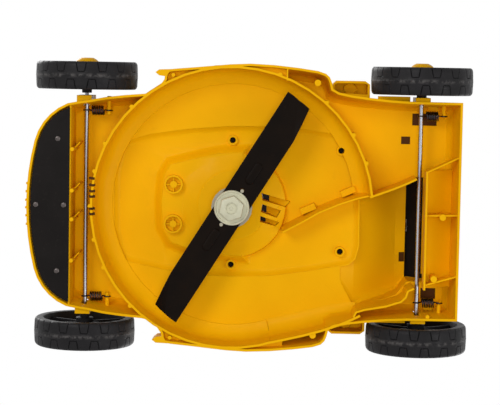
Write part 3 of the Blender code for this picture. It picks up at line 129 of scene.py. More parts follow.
class Nodes:
    """Short calls for building a material's node tree."""

    def __init__(self, name):
        self.material = bpy.data.materials.new(name)
        self.material.use_nodes = True
        self.tree = self.material.node_tree
        self.shader = self.tree.nodes["Principled BSDF"]

    def add(self, kind, **inputs):
        node = self.tree.nodes.new(kind)
        for key, value in inputs.items():
            self.set(node, key, value)
        return node

    def set(self, node, key, value):
        socket = node.inputs[key] if isinstance(key, int) else node.inputs[key.replace("_", " ")]
        if isinstance(value, bpy.types.NodeSocket):
            self.tree.links.new(value, socket)
        elif isinstance(value, tuple) and len(value) == 3 and socket.type == "RGBA":
            socket.default_value = (*value, 1.0)
        else:
            socket.default_value = value

    def place(self, stretch=None):
        vector = self.add("ShaderNodeTexCoord").outputs["Object"]
        if stretch:
            vector = self.add("ShaderNodeMapping", Vector=vector, Scale=stretch).outputs["Vector"]
        return vector

    def noise(self, scale, detail, roughness=0.5, vector=None):
        node = self.add("ShaderNodeTexNoise", Scale=scale, Detail=detail, Roughness=roughness)
        self.set(node, "Vector", vector or self.place())
        return node.outputs["Fac"]

    def ramp(self, value, low, high, colour_low=(0, 0, 0), colour_high=(1, 1, 1)):
        node = self.add("ShaderNodeValToRGB", Fac=value)
        for stop, position, colour in zip(node.color_ramp.elements, (low, high), (colour_low, colour_high)):
            stop.position = position
            stop.color = (*colour, 1.0)
        return node.outputs["Color"]

    def mix(self, factor, a, b):
        node = self.tree.nodes.new("ShaderNodeMix")
        node.data_type = "RGBA"
        for index, value in zip(MIX_INPUTS, (factor, a, b)):
            self.set(node, index, value)
        return node.outputs[MIX_RESULT]

    def tint(self, colour, mask, amount, shade):
        """The colour, taken towards the shade by the amount where the mask is white."""
        return self.mix(self.math("MULTIPLY", mask, amount), colour, shade)

    def uneven(self, scale, low, high, top=0.8):
        """A roughness that wanders between the two values."""
        return self.ramp(self.noise(scale, 4), 0.3, top, (low,) * 3, (high,) * 3)

    def math(self, operation, a, b=None):
        node = self.tree.nodes.new("ShaderNodeMath")
        node.operation = operation
        self.set(node, 0, a)
        if b is not None:
            self.set(node, 1, b)
        return node.outputs[0]

    def axis(self, name):
        return self.add("ShaderNodeSeparateXYZ", Vector=self.place()).outputs[name]

    def rounded(self, radius):
        node = self.add("ShaderNodeBevel", Radius=radius)
        node.samples = 4
        return node.outputs["Normal"]

    def bump(self, height, distance, normal=None):
        node = self.add("ShaderNodeBump", Height=height, Distance=distance, Strength=1.0)
        if normal:
            self.set(node, "Normal", normal)
        return node.outputs["Normal"]

    def finish(self, colour, roughness, normal=None, metallic=0, specular=0.5):
        self.set(self.shader, "Base Color", colour)
        self.set(self.shader, "Roughness", roughness)
        self.set(self.shader, "Metallic", metallic)
        self.set(self.shader, "Specular IOR Level", specular)
        if normal:
            self.set(self.shader, "Normal", normal)
        return self.material


def yellow_material():
    m = Nodes("deck_yellow_moulded")
    colour = m.mix(m.ramp(m.noise(9, 3), 0.35, 0.7), (0.84, 0.42, 0.0005), (0.9, 0.465, 0.001))
    stain = m.ramp(m.noise(42, 5, 0.65), 0.63, 0.8)
    colour = m.tint(colour, stain, 0.16, (0.6, 0.28, 0.005))
    specks = m.ramp(m.noise(520, 2, 0.7), 0.735, 0.77)
    colour = m.tint(colour, specks, 0.35, (0.16, 0.08, 0.01))
    roughness = m.uneven(60, 0.34, 0.52)
    normal = m.bump(m.noise(1500, 2), 0.00005, m.rounded(0.0009))
    return m.finish(colour, roughness, normal, specular=0.08)


def black_material(name, base, dust, dust_amount, specular, bevel):
    m = Nodes(name)
    grey = m.ramp(m.noise(18, 4, 0.6), 0.35, 0.75, base, tuple(c * 1.5 for c in base))
    dusty = m.ramp(m.noise(210, 6, 0.7), 0.58, 0.82)
    colour = m.tint(grey, dusty, dust_amount, dust)
    roughness = m.uneven(80, 0.36, 0.58)
    normal = m.bump(m.noise(1300, 2), 0.00006, m.rounded(bevel))
    return m.finish(colour, roughness, normal, specular=specular)


def tyre_material():
    """Black moulding with dust along the tyre's parting line. The wheel's own Z is its axle."""
    m = Nodes("tyre_black")
    grey = m.ramp(m.noise(30, 4, 0.6), 0.3, 0.75, (0.0065, 0.006, 0.0065), (0.0125, 0.0115, 0.0125))
    dusty = m.ramp(m.noise(260, 6, 0.72), 0.6, 0.82)
    colour = m.tint(grey, dusty, 0.16, (0.1, 0.09, 0.085))
    scratched = m.ramp(m.noise(55, 3, 0.6, m.place((1, 1, 9))), 0.7, 0.735)
    colour = m.tint(colour, scratched, 0.12, (0.26, 0.25, 0.24))
    from_line = m.math("ABSOLUTE", m.axis("Z"))
    on_line = m.ramp(from_line, 0.00025, 0.00065, (1, 1, 1), (0, 0, 0))
    broken = m.ramp(m.noise(120, 4, 0.7), 0.44, 0.6)
    colour = m.tint(colour, m.math("MULTIPLY", on_line, broken), 0.26, (0.28, 0.26, 0.25))
    roughness = m.uneven(90, 0.4, 0.62)
    return m.finish(colour, roughness, m.bump(m.noise(1100, 3), 0.00009), specular=0.16)


def metal_material(name, base, dark, smoothest, roughest, speckle):
    m = Nodes(name)
    spots = m.ramp(m.noise(330, 5, 0.75), 0.54, 0.68)
    colour = m.tint(base, spots, speckle, dark)
    roughness = m.uneven(120, smoothest, roughest, 0.75)
    return m.finish(colour, roughness, m.bump(m.noise(900, 3), 0.00005), metallic=1)


def blade_material():
    m = Nodes("blade_black_coat")
    coat = m.ramp(m.noise(26, 4, 0.6), 0.35, 0.75, (0.0034, 0.0018, 0.001), (0.007, 0.0036, 0.0018))
    worn = m.ramp(m.noise(230, 6, 0.75), 0.64, 0.74)
    colour = m.tint(coat, worn, 0.22, (0.1, 0.055, 0.025))
    roughness = m.uneven(90, 0.34, 0.56)
    normal = m.bump(m.noise(700, 4), 0.00008, m.rounded(0.0005))
    return m.finish(colour, roughness, normal, specular=0.06)


def ivory_material(name, base):
    m = Nodes(name)
    colour = m.mix(m.ramp(m.noise(60, 5, 0.6), 0.4, 0.8), base, tuple(c * 0.78 for c in base))
    marks = m.ramp(m.noise(240, 4, 0.7), 0.68, 0.76)
    colour = m.tint(colour, marks, 0.3, tuple(c * 0.35 for c in base))
    return m.finish(colour, 0.42, m.bump(m.noise(1200, 2), 0.00006), specular=0.4)


# Base colour, dust and its amount, specular, and the width of the rounded edges
BLACKS = {
    "black_plastic": ((0.0075, 0.0062, 0.0058), (0.1, 0.085, 0.07), 0.17, 0.07, 0.0006),
    "cover_black": ((0.012, 0.0115, 0.012), (0.1, 0.09, 0.08), 0.08, 0.22, 0.001),
    # The next is painted shade: a dark brown for plates that stand for the shade inside openings and recesses
    "painted_shade_brown": ((0.06, 0.022, 0.004), (0.16, 0.07, 0.02), 0.3, 0.1, 0.0006),
}
# Base colour, spots, least and greatest roughness, and the strength of the spots
METALS = {
    "zinc_rod": ((0.4, 0.42, 0.47), (0.08, 0.07, 0.06), 0.2, 0.36, 0.6),
    "plain_steel": ((0.52, 0.52, 0.52), (0.2, 0.17, 0.14), 0.28, 0.45, 0.35),
    "armature_copper": ((0.45, 0.21, 0.09), (0.1, 0.05, 0.03), 0.35, 0.55, 0.6),
    "spring_black": ((0.045, 0.045, 0.052), (0.012, 0.012, 0.013), 0.22, 0.38, 0.6),
    "screw_steel": ((0.105, 0.09, 0.086), (0.025, 0.02, 0.018), 0.28, 0.42, 0.6),
}
IVORIES = {"bolt_ivory": (0.6, 0.58, 0.42), "carrier_grey": (0.4, 0.37, 0.28)}

MATERIALS = {"deck_yellow": yellow_material(), "tyre_black": tyre_material(), "blade_steel": blade_material()}
MATERIALS.update((name, black_material(name, *values)) for name, values in BLACKS.items())
MATERIALS.update((name, metal_material(name, *values)) for name, values in METALS.items())
MATERIALS.update((name, ivory_material(name, base)) for name, base in IVORIES.items())


def colour_nodes():
    for entry in frame["record"]["subparts"]:
        materials = NODES[entry["node"]].data.materials
        materials.clear()
        materials.append(MATERIALS[entry["material_slot"]])


# Meshes for the detailed pieces
def polar(radius, turn, z=0):
    return (radius * math.cos(turn), radius * math.sin(turn), z)


def placed(point, angle, axis):
    """Turned about an axis through its own origin, then set at the point."""
    return Matrix.Translation(point) @ Matrix.Rotation(angle, 4, axis)


def mesh_piece(name, verts, faces, material, sharp=SHARP):
    """The material is given by its name, here and in what follows."""
    mesh = bpy.data.meshes.new(name)
    mesh.from_pydata(verts, [], faces)
    mesh.materials.append(MATERIALS[material])
    finish_mesh(mesh, sharp)
    return add_object(name, mesh)


def finish_mesh(mesh, sharp):
    """Merges points that meet, turns the faces outwards and shades them."""
    bm = bmesh.new()
    bm.from_mesh(mesh)
    bmesh.ops.remove_doubles(bm, verts=bm.verts, dist=MERGE_DISTANCE)
    bmesh.ops.recalc_face_normals(bm, faces=bm.faces)
    bm.to_mesh(mesh)
    bm.free()
    mesh.shade_smooth()
    mesh.set_sharp_from_angle(angle=math.radians(sharp))


def grid_piece(name, rings, material, closed=False, capped=False, sharp=SHARP):
    """A skin over rings of equal length, closed from the last ring to the first where asked."""
    count = len(rings[0])
    verts = [point for ring in rings for point in ring]
    pairs = list(zip(range(len(rings)), range(1, len(rings))))
    if closed:
        pairs.append((len(rings) - 1, 0))
    faces = []
    for a, b in pairs:
        for i in range(count):
            j = (i + 1) % count
            faces.append((a * count + i, a * count + j, b * count + j, b * count + i))
    if capped:
        faces.append(tuple(range(count))[::-1])
        faces.append(tuple((len(rings) - 1) * count + i for i in range(count)))
    return mesh_piece(name, verts, faces, material, sharp)


def turned_piece(name, profile, steps, material, closed=False, sharp=SHARP):
    """The profile, (radius, z) pairs, turned about Z."""
    turns = [math.tau * i / steps for i in range(steps)]
    rings = [[polar(radius, turn, z) for turn in turns] for radius, z in profile]
    return grid_piece(name, rings, material, closed, False, sharp)


def box_piece(name, low, high, bevel, material, turn=0):
    """A box between two corners, turned about Z afterwards."""
    bm = bmesh.new()
    bmesh.ops.create_cube(bm, size=1.0)
    for vert in bm.verts:
        vert.co = [(a + b) / 2 + c * (b - a) for a, b, c in zip(low, high, vert.co)]
    if bevel:
        bmesh.ops.bevel(bm, geom=list(bm.edges), offset=bevel, segments=2, profile=0.6, affect="EDGES")
    bmesh.ops.rotate(bm, verts=bm.verts, cent=(0, 0, 0), matrix=Matrix.Rotation(turn, 3, "Z"))
    mesh = bpy.data.meshes.new(name)
    bm.to_mesh(mesh)
    bm.free()
    mesh.materials.append(MATERIALS[material])
    return add_object(name, mesh)


def tube_piece(name, points, radius, sides, material):
    """A round wire along the points, its cross-section carried along without twist."""
    line = [Vector(p) for p in points]
    across = Vector((1, 0, 0))
    rings = []
    for i, point in enumerate(line):
        ahead = (line[min(i + 1, len(line) - 1)] - line[max(i - 1, 0)]).normalized()
        across = (across - ahead * across.dot(ahead)).normalized()
        up = ahead.cross(across)
        ring = []
        for j in range(sides):
            turn = math.tau * j / sides
            ring.append(tuple(point + radius * (across * math.cos(turn) + up * math.sin(turn))))
        rings.append(ring)
    return grid_piece(name, rings, material, capped=True, sharp=WIRE_SHARP)


def fine_line(points, parts):
    """A smooth line through all the points, with each stretch divided into parts."""
    line = [Vector(p) for p in points]
    line = [2 * line[0] - line[1]] + line + [2 * line[-1] - line[-2]]
    fine = []
    for a, b, c, d in zip(line, line[1:], line[2:], line[3:]):
        for i in range(parts):
            t = i / parts
            first = (c - a) * t
            second = (2 * a - 5 * b + 4 * c - d) * t * t
            third = (3 * b - a - 3 * c + d) * t ** 3
            fine.append(0.5 * (2 * b + first + second + third))
    return fine + [line[-2]]


def carve(obj, others, operation, sharp=CRISP):
    """Cuts the other objects from obj, or joins them to it, and leaves a plain mesh."""
    for other in others:
        modifier = obj.modifiers.new(operation, "BOOLEAN")
        modifier.operation = operation
        modifier.solver = "EXACT"
        modifier.object = other
    shape = obj.evaluated_get(bpy.context.evaluated_depsgraph_get())
    mesh = bpy.data.meshes.new_from_object(shape)
    obj.modifiers.clear()
    obj.data = mesh
    for other in others:
        bpy.data.objects.remove(other, do_unlink=True)
    finish_mesh(mesh, sharp)
    return obj


def mesh_only(obj):
    """The object's mesh, with the object itself removed."""
    mesh = obj.data
    bpy.data.objects.remove(obj, do_unlink=True)
    return mesh


def round_edges(obj, width, angle):
    rounding = obj.modifiers.new("rounding", "BEVEL")
    rounding.width = width
    rounding.segments = 2
    rounding.angle_limit = math.radians(angle)


def even_shading(obj):
    weighted = obj.modifiers.new("even_shading", "WEIGHTED_NORMAL")
    weighted.keep_sharp = True


def fine_copy(node, material, bevel=0):
    """The node's own shape with its surfaces shaded as one, and its edges rounded where asked."""
    data = NODES[node].data
    verts = [tuple(vert.co) for vert in data.vertices]
    faces = [tuple(face.vertices) for face in data.polygons]
    obj = mesh_piece(f"{node}_detailed", verts, faces, material, CRISP)
    if bevel:
        bm = bmesh.new()
        bm.from_mesh(obj.data)
        bmesh.ops.dissolve_limit(bm, angle_limit=FLAT_ANGLE, verts=bm.verts, edges=bm.edges)
        bm.to_mesh(obj.data)
        bm.free()
        round_edges(obj, bevel, 32)
    even_shading(obj)
    return obj


def stand_for(obj, node, body):
    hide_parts(node)
    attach(obj, body)


def fixed_piece(obj):
    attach(obj, "housing")


def middle(node):
    low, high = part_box(node)
    return (Vector(low) + Vector(high)) / 2


# Wheels, with Z as their axle. The tread repeats PERIODS times, in columns at these angles within a period:
# on the outer edge, the crown and the parting line
PERIODS = 15
PERIOD = 360 / PERIODS
COLUMNS = 12
EDGE = (0, 2.8, 5.3, 6.0, 6.7, 9.4, 12, 14.6, 17.3, 18.0, 18.7, 21.2)
CROWN = (0, 1.8, 3.1, 3.8, 4.5, 8.2, 12, 15.8, 19.5, 20.2, 20.9, 22.2)
EVEN = tuple(2 * i for i in range(COLUMNS))
GROOVES = (3, 9)
GROOVE_ENDS = (9, 10, 11, 0, 1, 2, 3)
# Height above the parting line, radius, and depth of the grooves
TREAD_ROWS = (
    (0, 0.076, 0), (0.0005, 0.07585, 0), (0.0012, 0.0758, 0), (0.005, 0.0757, 0),
    (0.0057, 0.07565, 0.0009), (0.0064, 0.0756, 0.0011), (0.009, 0.0755, 0.0012), (0.013, 0.0753, 0.0013),
    (0.0155, 0.0752, 0.0013), (0.018, 0.07445, 0.0013), (0.0195, 0.0733, 0.0011), (0.0205, 0.0718, 0.0006),
)
CROWN_Z = 0.0057
HALF_WIDTH = 0.0205
# The faces as (radius, z) pairs, from the tread inwards and from the bore outwards
OUTER_FACE = (
    (0.0706, HALF_WIDTH), (0.07, 0.0201), (0.0646, 0.02), (0.064, HALF_WIDTH), (0.0622, HALF_WIDTH),
    (0.0615, 0.0201), (0.057, 0.0124), (0.0556, 0.0115), (0.047, 0.0117), (0.0464, 0.0112),
    (0.042, 0.0112), (0.0414, 0.0118), (0.025, 0.0122), (0.0228, 0.0125), (0.0039, 0.0125),
    (0.00355, 0.0121),
)
INNER_FACE = (
    (0.00355, -0.0257), (0.0041, -0.0262), (0.0067, -0.0262), (0.0074, -0.0255), (0.0075, -0.0205),
    (0.008, -0.02), (0.012, -0.02), (0.0128, -0.0193), (0.0136, 0.0066), (0.0142, 0.0078),
    (0.0156, 0.008), (0.0585, 0.0062), (0.0603, 0.0056), (0.0608, 0.004), (0.0616, -0.0192),
    (0.0622, -0.0203), (0.0632, -HALF_WIDTH), (0.07, -HALF_WIDTH),
)
# Boxes by their two corners and bevel, turned to each spoke
SPOKES = 6
SPOKE = ((0.0108, -0.0012, -0.014), (0.0613, 0.0012, 0.009), 0.0004)
FACE_RIB = ((0.024, -0.0016, 0.0105), (0.0575, 0.0016, 0.015), 0.0006)
FACE_RIB_TURN = 0.52
HUBCAP = (
    (0, 0.0238), (0.003, 0.0238), (0.0052, 0.0243), (0.007, 0.0255), (0.008, 0.0261), (0.0088, 0.0262),
    (0.0098, 0.0258), (0.0116, 0.0248), (0.0138, 0.0236), (0.016, 0.0216), (0.018, 0.019),
    (0.019, 0.0172), (0.0195, 0.0158), (0.0195, 0.0134), (0.0192, 0.0128), (0.0177, 0.0128),
    (0.0175, 0.016), (0.012, 0.0218), (0, 0.0222),
)
HUBCAP_NOTCHES = 4
HUBCAP_NOTCH = ((0.0186, -0.0022, 0.012), (0.0205, 0.0022, 0.0148), 0)


def tread_columns(side):
    """(period, column) of each point round the wheel. The two halves' blocks are half a period apart."""
    shift = 0 if side > 0 else COLUMNS // 2
    return [divmod(i + shift, COLUMNS) for i in range(PERIODS * COLUMNS)], PERIOD * shift / COLUMNS


def tread_ring(height, radius, depth, side):
    blend = min(height / CROWN_Z, 1.0)
    outward = max((height - CROWN_Z) / (HALF_WIDTH - CROWN_Z), 0)
    columns, start = tread_columns(side)
    ring = []
    for period, column in columns:
        inner = EVEN[column] + (CROWN[column] - EVEN[column]) * blend
        angle = inner + (EDGE[column] - CROWN[column]) * outward
        sunk = column in GROOVE_ENDS if height == CROWN_Z else column in GROOVES
        reach = radius - depth if sunk else radius
        ring.append(polar(reach, math.radians(PERIOD * period + angle - start), side * height))
    return ring


def plain_ring(radius, z, side):
    columns, start = tread_columns(side)
    turns = [math.radians(PERIOD * period + EDGE[column] - start) for period, column in columns]
    return [polar(radius, turn, z) for turn in turns]


def wheel_form():
    rings = [tread_ring(*row, -1) for row in TREAD_ROWS[:0:-1]]
    rings += [tread_ring(*row, 1) for row in TREAD_ROWS]
    rings += [plain_ring(radius, z, 1) for radius, z in OUTER_FACE]
    rings += [plain_ring(radius, z, 1) for radius, z in INNER_FACE[:-2]]
    rings += [plain_ring(radius, z, -1) for radius, z in INNER_FACE[-2:]]
    wheel = grid_piece("wheel_form", rings, "tyre_black", closed=True, sharp=WHEEL_SHARP)
    spokes = []
    for i in range(SPOKES):
        turn = math.tau * (i + 0.5) / SPOKES
        spokes.append(box_piece("spoke", *SPOKE, "tyre_black", turn))
        spokes.append(box_piece("face_rib", *FACE_RIB, "tyre_black", turn + FACE_RIB_TURN))
    return mesh_only(carve(wheel, spokes, "UNION", WHEEL_SHARP))


def hubcap_form():
    cap = turned_piece("hubcap_form", HUBCAP, 48, "deck_yellow", sharp=SOFT)
    notches = []
    for i in range(HUBCAP_NOTCHES):
        notches.append(box_piece("notch", *HUBCAP_NOTCH, "deck_yellow", math.tau * i / HUBCAP_NOTCHES))
    return mesh_only(carve(cap, notches, "DIFFERENCE", SOFT))


def make_wheels():
    """Each wheel is spun a quarter turn more than the last, so that their marks differ."""
    wheel, cap = wheel_form(), hubcap_form()
    for number, (axle, side) in enumerate((a, s) for a in AXLES for s in SIDES):
        corner = f"{axle}_{side}"
        centre = middle(f"{corner}_wheel")
        spin = Matrix.Rotation(number * math.pi / 2, 4, "Z")
        turn = Matrix.Rotation(SIDES[side] * math.pi / 2, 4, "Y")
        for name, mesh, slot in (("wheel", wheel, "black_plastic"), ("hubcap", cap, "deck_yellow")):
            piece = add_object(f"{corner}_{name}_detailed", mesh)
            piece.matrix_world = Matrix.Translation(centre) @ turn @ spin
            stand_for(piece, f"{corner}_{name}", f"{corner}_wheel_set")


def make_axles():
    """Rods with chamfered ends and a groove near each end."""
    chamfer, groove = 0.0008, 0.0003
    for axle in AXLES:
        low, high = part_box(f"{axle}_axle")
        reach, radius = (high[0] - low[0]) / 2, (high[2] - low[2]) / 2
        half = (
            (0, reach), (radius - chamfer, reach), (radius, reach - chamfer), (radius, reach - 0.003),
            (radius - groove, reach - 0.0032), (radius - groove, reach - 0.004), (radius, reach - 0.0042),
        )
        profile = [*half, *((r, -z) for r, z in half[::-1])]
        rod = turned_piece(f"{axle}_axle_detailed", profile, 32, "zinc_rod", sharp=WIRE_SHARP)
        rod.matrix_world = placed(middle(f"{axle}_axle"), math.pi / 2, "Y")
        stand_for(rod, f"{axle}_axle", f"{axle}_axle_set")


# Springs, on the points of the CAD's wires, with loops between these angles
SPRING_WIRE = 0.002
COIL_RADIUS = 0.0065
SPRING_TURNS = 7
SPRING_PITCH = 0.0026
LOOP_RADIUS = 0.0048
SPRING_LEAD = 0.0078
PER_TURN = 8
LOOP_STEPS = 6
AXLE_LOOP, HOOK_LOOP = (330, 62), (118, -150)


def spring_loop(centre, first, last):
    angles = [math.radians(first + (last - first) * i / LOOP_STEPS) for i in range(LOOP_STEPS + 1)]
    return [(0, centre + LOOP_RADIUS * math.cos(a), LOOP_RADIUS * math.sin(a)) for a in angles]


def axle_spring_points():
    coil = []
    for i in range(SPRING_TURNS * PER_TURN + 1):
        turn = math.tau * i / PER_TURN
        along = SPRING_LEAD + SPRING_PITCH * i / PER_TURN
        coil.append((COIL_RADIUS * math.sin(turn), along, COIL_RADIUS * math.cos(turn)))
    end = 2 * SPRING_LEAD + SPRING_PITCH * SPRING_TURNS
    return spring_loop(0, *AXLE_LOOP) + coil + spring_loop(end, *HOOK_LOOP)


def make_axle_springs():
    points = fine_line(axle_spring_points(), 3)
    for axle in AXLES:
        for side in SIDES:
            node = f"{axle}_{side}_spring"
            at_axle = middle(f"{axle}_axle")
            at_axle.x = middle(node).x
            line = [point + at_axle for point in points]
            spring = tube_piece(f"{node}_detailed", line, SPRING_WIRE / 2, 10, "spring_black")
            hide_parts(node)
            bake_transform(spring)


# Screws
THREAD_PITCH, THREAD_DEPTH = 0.0013, 0.0003
CROSS_REACH, CROSS_HALF_WIDTH, CROSS_DEPTH = 0.56, 0.13, 0.0014


def make_screw(node, material, shank, seat):
    """A pan-head screw that points up from its seat, with a cross recess in its head."""
    low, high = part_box(node)
    radius, length = (high[0] - low[0]) / 2, high[2] - low[2]
    profile = [
        (0, 0), (radius * 0.45, 0.0001), (radius * 0.7, 0.0004), (radius * 0.88, 0.001),
        (radius * 0.97, 0.0016), (radius, seat - 0.0003), (radius * 0.98, seat), (shank, seat),
    ]
    for i in range(int((length - seat - 0.002) / THREAD_PITCH)):
        base = seat + 0.0005 + THREAD_PITCH * i
        profile += [(shank - THREAD_DEPTH, base), (shank, base + 0.0005)]
    profile += [(shank * 0.5, length - 0.0006), (0, length)]
    screw = turned_piece(f"{node}_detailed", profile, 24, material, sharp=CRISP)
    arm, half = radius * CROSS_REACH, radius * CROSS_HALF_WIDTH
    cuts = []
    for x, y in ((arm, half), (half, arm)):
        cuts.append(box_piece("recess", (-x, -y, -0.001), (x, y, CROSS_DEPTH), 0, material))
    carve(screw, cuts, "DIFFERENCE")
    centre = middle(node)
    screw.matrix_world = placed((centre.x, centre.y, low[2]), centre.x * 31 + 0.4, "Z")
    stand_for(screw, node, "housing")


def make_screws():
    for i in range(1, 5):
        make_screw(f"plate_screw_{i}", "screw_steel", 0.0016, 0.0022)
        make_screw(f"cover_screw_{i}", "black_plastic", 0.0019, 0.0025)


# Blade bolt. HEXAGON_CORNER is half the angle, in degrees, that a rounded corner takes up
HEXAGON_WIDTH, HEXAGON_CORNER = 0.033, 2.2
BOLT_TURN = math.radians(12)


def hexagon_piece(face, top):
    corner = HEXAGON_WIDTH / math.sqrt(3)
    rows = (
        (corner - 0.0021, face), (corner - 0.0007, face + 0.0008), (corner, face + 0.0022),
        (corner, top - 0.001),
    )
    turns = [math.radians(60 * i + step * HEXAGON_CORNER) for i in range(6) for step in (-1, 1)]
    rings = [[polar(reach, turn, z) for turn in turns] for reach, z in rows]
    return grid_piece("hexagon", rings, "bolt_ivory", capped=True)


def make_bolt():
    """Its head hangs down: a hexagon with a dimple, under a wide flange with a raised rim."""
    low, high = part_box("blade_bolt")
    flange, top, shank = 0.0263, 0.0447, 0.005
    profile = (
        (0, high[2]), (shank - 0.0008, high[2] - 0.0002), (shank, high[2] - 0.0012), (shank, top),
        (flange - 0.0006, top), (flange, top - 0.0007), (flange, top - 0.0026),
        (flange - 0.0005, top - 0.0039), (flange - 0.0012, top - 0.0045), (flange - 0.0024, top - 0.0045),
        (flange - 0.0031, top - 0.0041), (flange - 0.0037, top - 0.0032), (0, top - 0.003),
    )
    bolt = turned_piece("blade_bolt_detailed", profile, 96, "bolt_ivory", sharp=CRISP)
    face = low[2]
    carve(bolt, [hexagon_piece(face, top)], "UNION")
    hollow = (
        (0, face - 0.004), (0.0096, face - 0.004), (0.0096, face - 0.0002), (0.0081, face + 0.0009),
        (0.0078, face + 0.0035), (0.003, face + 0.0035), (0.0022, face + 0.0026), (0, face + 0.0024),
    )
    carve(bolt, [turned_piece("dimple", hollow, 48, "bolt_ivory")], "DIFFERENCE")
    bolt.matrix_world = placed((0, BLADE_AXIS_Y, 0), BOLT_TURN, "Z")
    stand_for(bolt, "blade_bolt", "rotor")


# Deck, with the discharge side of the blade chamber as the photograph shows it
RIM_Z = 0.035
CHAMBER_WALL = 0.0035
CEILING_Z = 0.1046
# The section that is cut out of the round wall, as (radius, z) pairs, and the angles between which it is cut
WALL_CUT = ((0.1805, 0.03), (0.2112, 0.03), (0.2112, CEILING_Z), (0.1805, CEILING_Z))
CUT_FROM, CUT_TO, CUT_STEPS = 129.3, 163.0, 24
# Points of the straight wall, with the size of the fillet at each
WALL_LINE = (
    ((-0.198, 0.0602), 1.0), ((-0.1927, 0.083), 1.0), ((-0.1864, 0.109), 1.0), ((-0.179, 0.135), 1.0),
    ((-0.1699, 0.161), 0.9), ((-0.1599, 0.1835), 0.65), ((-0.155, 0.193), 0.45),
)
# The fillet's distance from the wall and drop below FILLET_TOP
FILLET_TOP = 0.104
FILLET = ((0, 0.028), (0.0018, 0.02), (0.005, 0.0125), (0.009, 0.007), (0.014, 0.003))


def at_axis(x, u, z):
    """Plan coordinates measured from the blade's axis, as a point."""
    return (x, BLADE_AXIS_Y + u, z)


def prism_piece(name, outline, low, high, material="deck_yellow"):
    """The plan outline between two heights, each a number or a function of u."""
    rings = []
    for level in (low, high):
        rings.append([at_axis(x, u, level(u) if callable(level) else level) for x, u in outline])
    return grid_piece(name, rings, material, capped=True)


def rectangle(x_low, u_low, x_high, u_high):
    return ((x_low, u_low), (x_high, u_low), (x_high, u_high), (x_low, u_high))


def shrunk(outline, keep):
    """The outline drawn in towards its middle."""
    middle_x = sum(x for x, u in outline) / len(outline)
    middle_u = sum(u for x, u in outline) / len(outline)
    return [(middle_x + (x - middle_x) * keep, middle_u + (u - middle_u) * keep) for x, u in outline]


def mirrored(outline, sign):
    return [(sign * x, u) for x, u in outline]


def chamber_sector():
    rings = []
    for i in range(CUT_STEPS + 1):
        turn = math.radians(CUT_FROM + (CUT_TO - CUT_FROM) * i / CUT_STEPS)
        rings.append([at_axis(*polar(radius, turn, z)) for radius, z in WALL_CUT])
    return grid_piece("chamber_sector", rings, "deck_yellow", capped=True)


def discharge_wall():
    """The straight run of the chamber wall, with the chamber's wide fillet at the ceiling."""
    rings = []
    top = CEILING_Z + 0.001
    points = [Vector(point) for point, scale in WALL_LINE]
    for i, here in enumerate(points):
        scale = WALL_LINE[i][1]
        ahead = (points[min(i + 1, len(points) - 1)] - points[max(i - 1, 0)]).normalized()
        inward = Vector((ahead.y, -ahead.x))
        profile = [(-CHAMBER_WALL, RIM_Z), (0, RIM_Z)]
        profile += [(reach * scale, FILLET_TOP - drop * scale) for reach, drop in FILLET]
        profile += [(0.019 * scale, 0.1036), (0.024 * scale, 0.1044), (0.0245 * scale, top)]
        profile.append((-CHAMBER_WALL, top))
        rings.append([at_axis(*(here + inward * reach), z) for reach, z in profile])
    return grid_piece("discharge_wall", rings, "deck_yellow", capped=True)


# Outlines on the ceiling, in the order that turns from +X through the rear
PANEL = (
    (0.091, -0.17), (0.105, -0.128), (0.114, -0.068), (0.119, -0.01), (0.12, 0.042), (0.117, 0.103),
    (0.109, 0.161), (0.1, 0.182), (0.085, 0.19), (-0.059, 0.192), (-0.079, 0.187), (-0.088, 0.177),
    (-0.099, 0.119), (-0.108, 0.058), (-0.11, -0.003), (-0.109, -0.034), (-0.102, -0.103), (-0.088, -0.168),
    (-0.045, -0.18), (0.045, -0.181),
)
PLATEAU = (
    (0.083, 0.017), (-0.081, 0.017), (-0.078, -0.02), (-0.069, -0.072), (-0.061, -0.095), (-0.038, -0.109),
    (0.005, -0.111), (0.043, -0.108), (0.062, -0.097), (0.072, -0.059), (0.081, -0.021),
)
# Their soft edges, as distance outwards and height
PANEL_EDGE = (
    (0.0015, 0.1054), (-0.0004, 0.1054), (-0.0036, 0.1088), (-0.0066, 0.111), (-0.01, 0.1123),
    (0.0015, 0.1123),
)
PLATEAU_EDGE = (
    (-0.006, 0.0984), (-0.0026, 0.0986), (0.0006, 0.101), (0.0044, 0.1065), (0.008, 0.1105),
    (0.012, 0.1123), (-0.006, 0.1123),
)
# Windows of the CAD deck that are filled, and recesses where the photograph has them
REAR_SKIN = (0.1044, 0.1086)
OLD_WINDOW = ((0.127, 0.291), (0.156, 0.291), (0.156, 0.307), (0.127, 0.321))
OLD_LIP_WINDOW = rectangle(-0.0916, 0.2494, -0.0774, 0.2591)
RECESSES = {
    "rear_left_recess": rectangle(0.1255, 0.269, 0.1435, 0.306),
    "rear_right_recess": rectangle(-0.1381, 0.288, -0.1217, 0.3105),
}
RECESS_CUT, RECESS_SHADE = (0.103, 0.107), (0.1062, 0.1069)
LIP_RECESS = rectangle(-0.0885, 0.2575, -0.0735, 0.2662)
# The ceiling of the discharge channel near its lip, which rises less beyond the bend
LIP_BEND_U, LIP_BEND_Z = 0.251, 0.16
LIP_SLOPE_BEFORE, LIP_SLOPE_AFTER = 0.79, 0.3125
SHARPEST_CORNER = 0.4


def grown(outline, distance):
    """The closed outline moved outwards, whichever way round it runs."""
    count = len(outline)
    area = sum(outline[i - 1][0] * outline[i][1] - outline[i][0] * outline[i - 1][1] for i in range(count))
    sign = 1 if area > 0 else -1
    moved = []
    for i in range(count):
        before, here, after = (Vector(outline[j % count]) for j in (i - 1, i, i + 1))
        first, second = (here - before).normalized(), (after - here).normalized()
        out_first, out_second = Vector((first.y, -first.x)) * sign, Vector((second.y, -second.x)) * sign
        out = (out_first + out_second).normalized()
        moved.append(tuple(here + out * distance / max(out.dot(out_first), SHARPEST_CORNER)))
    return moved


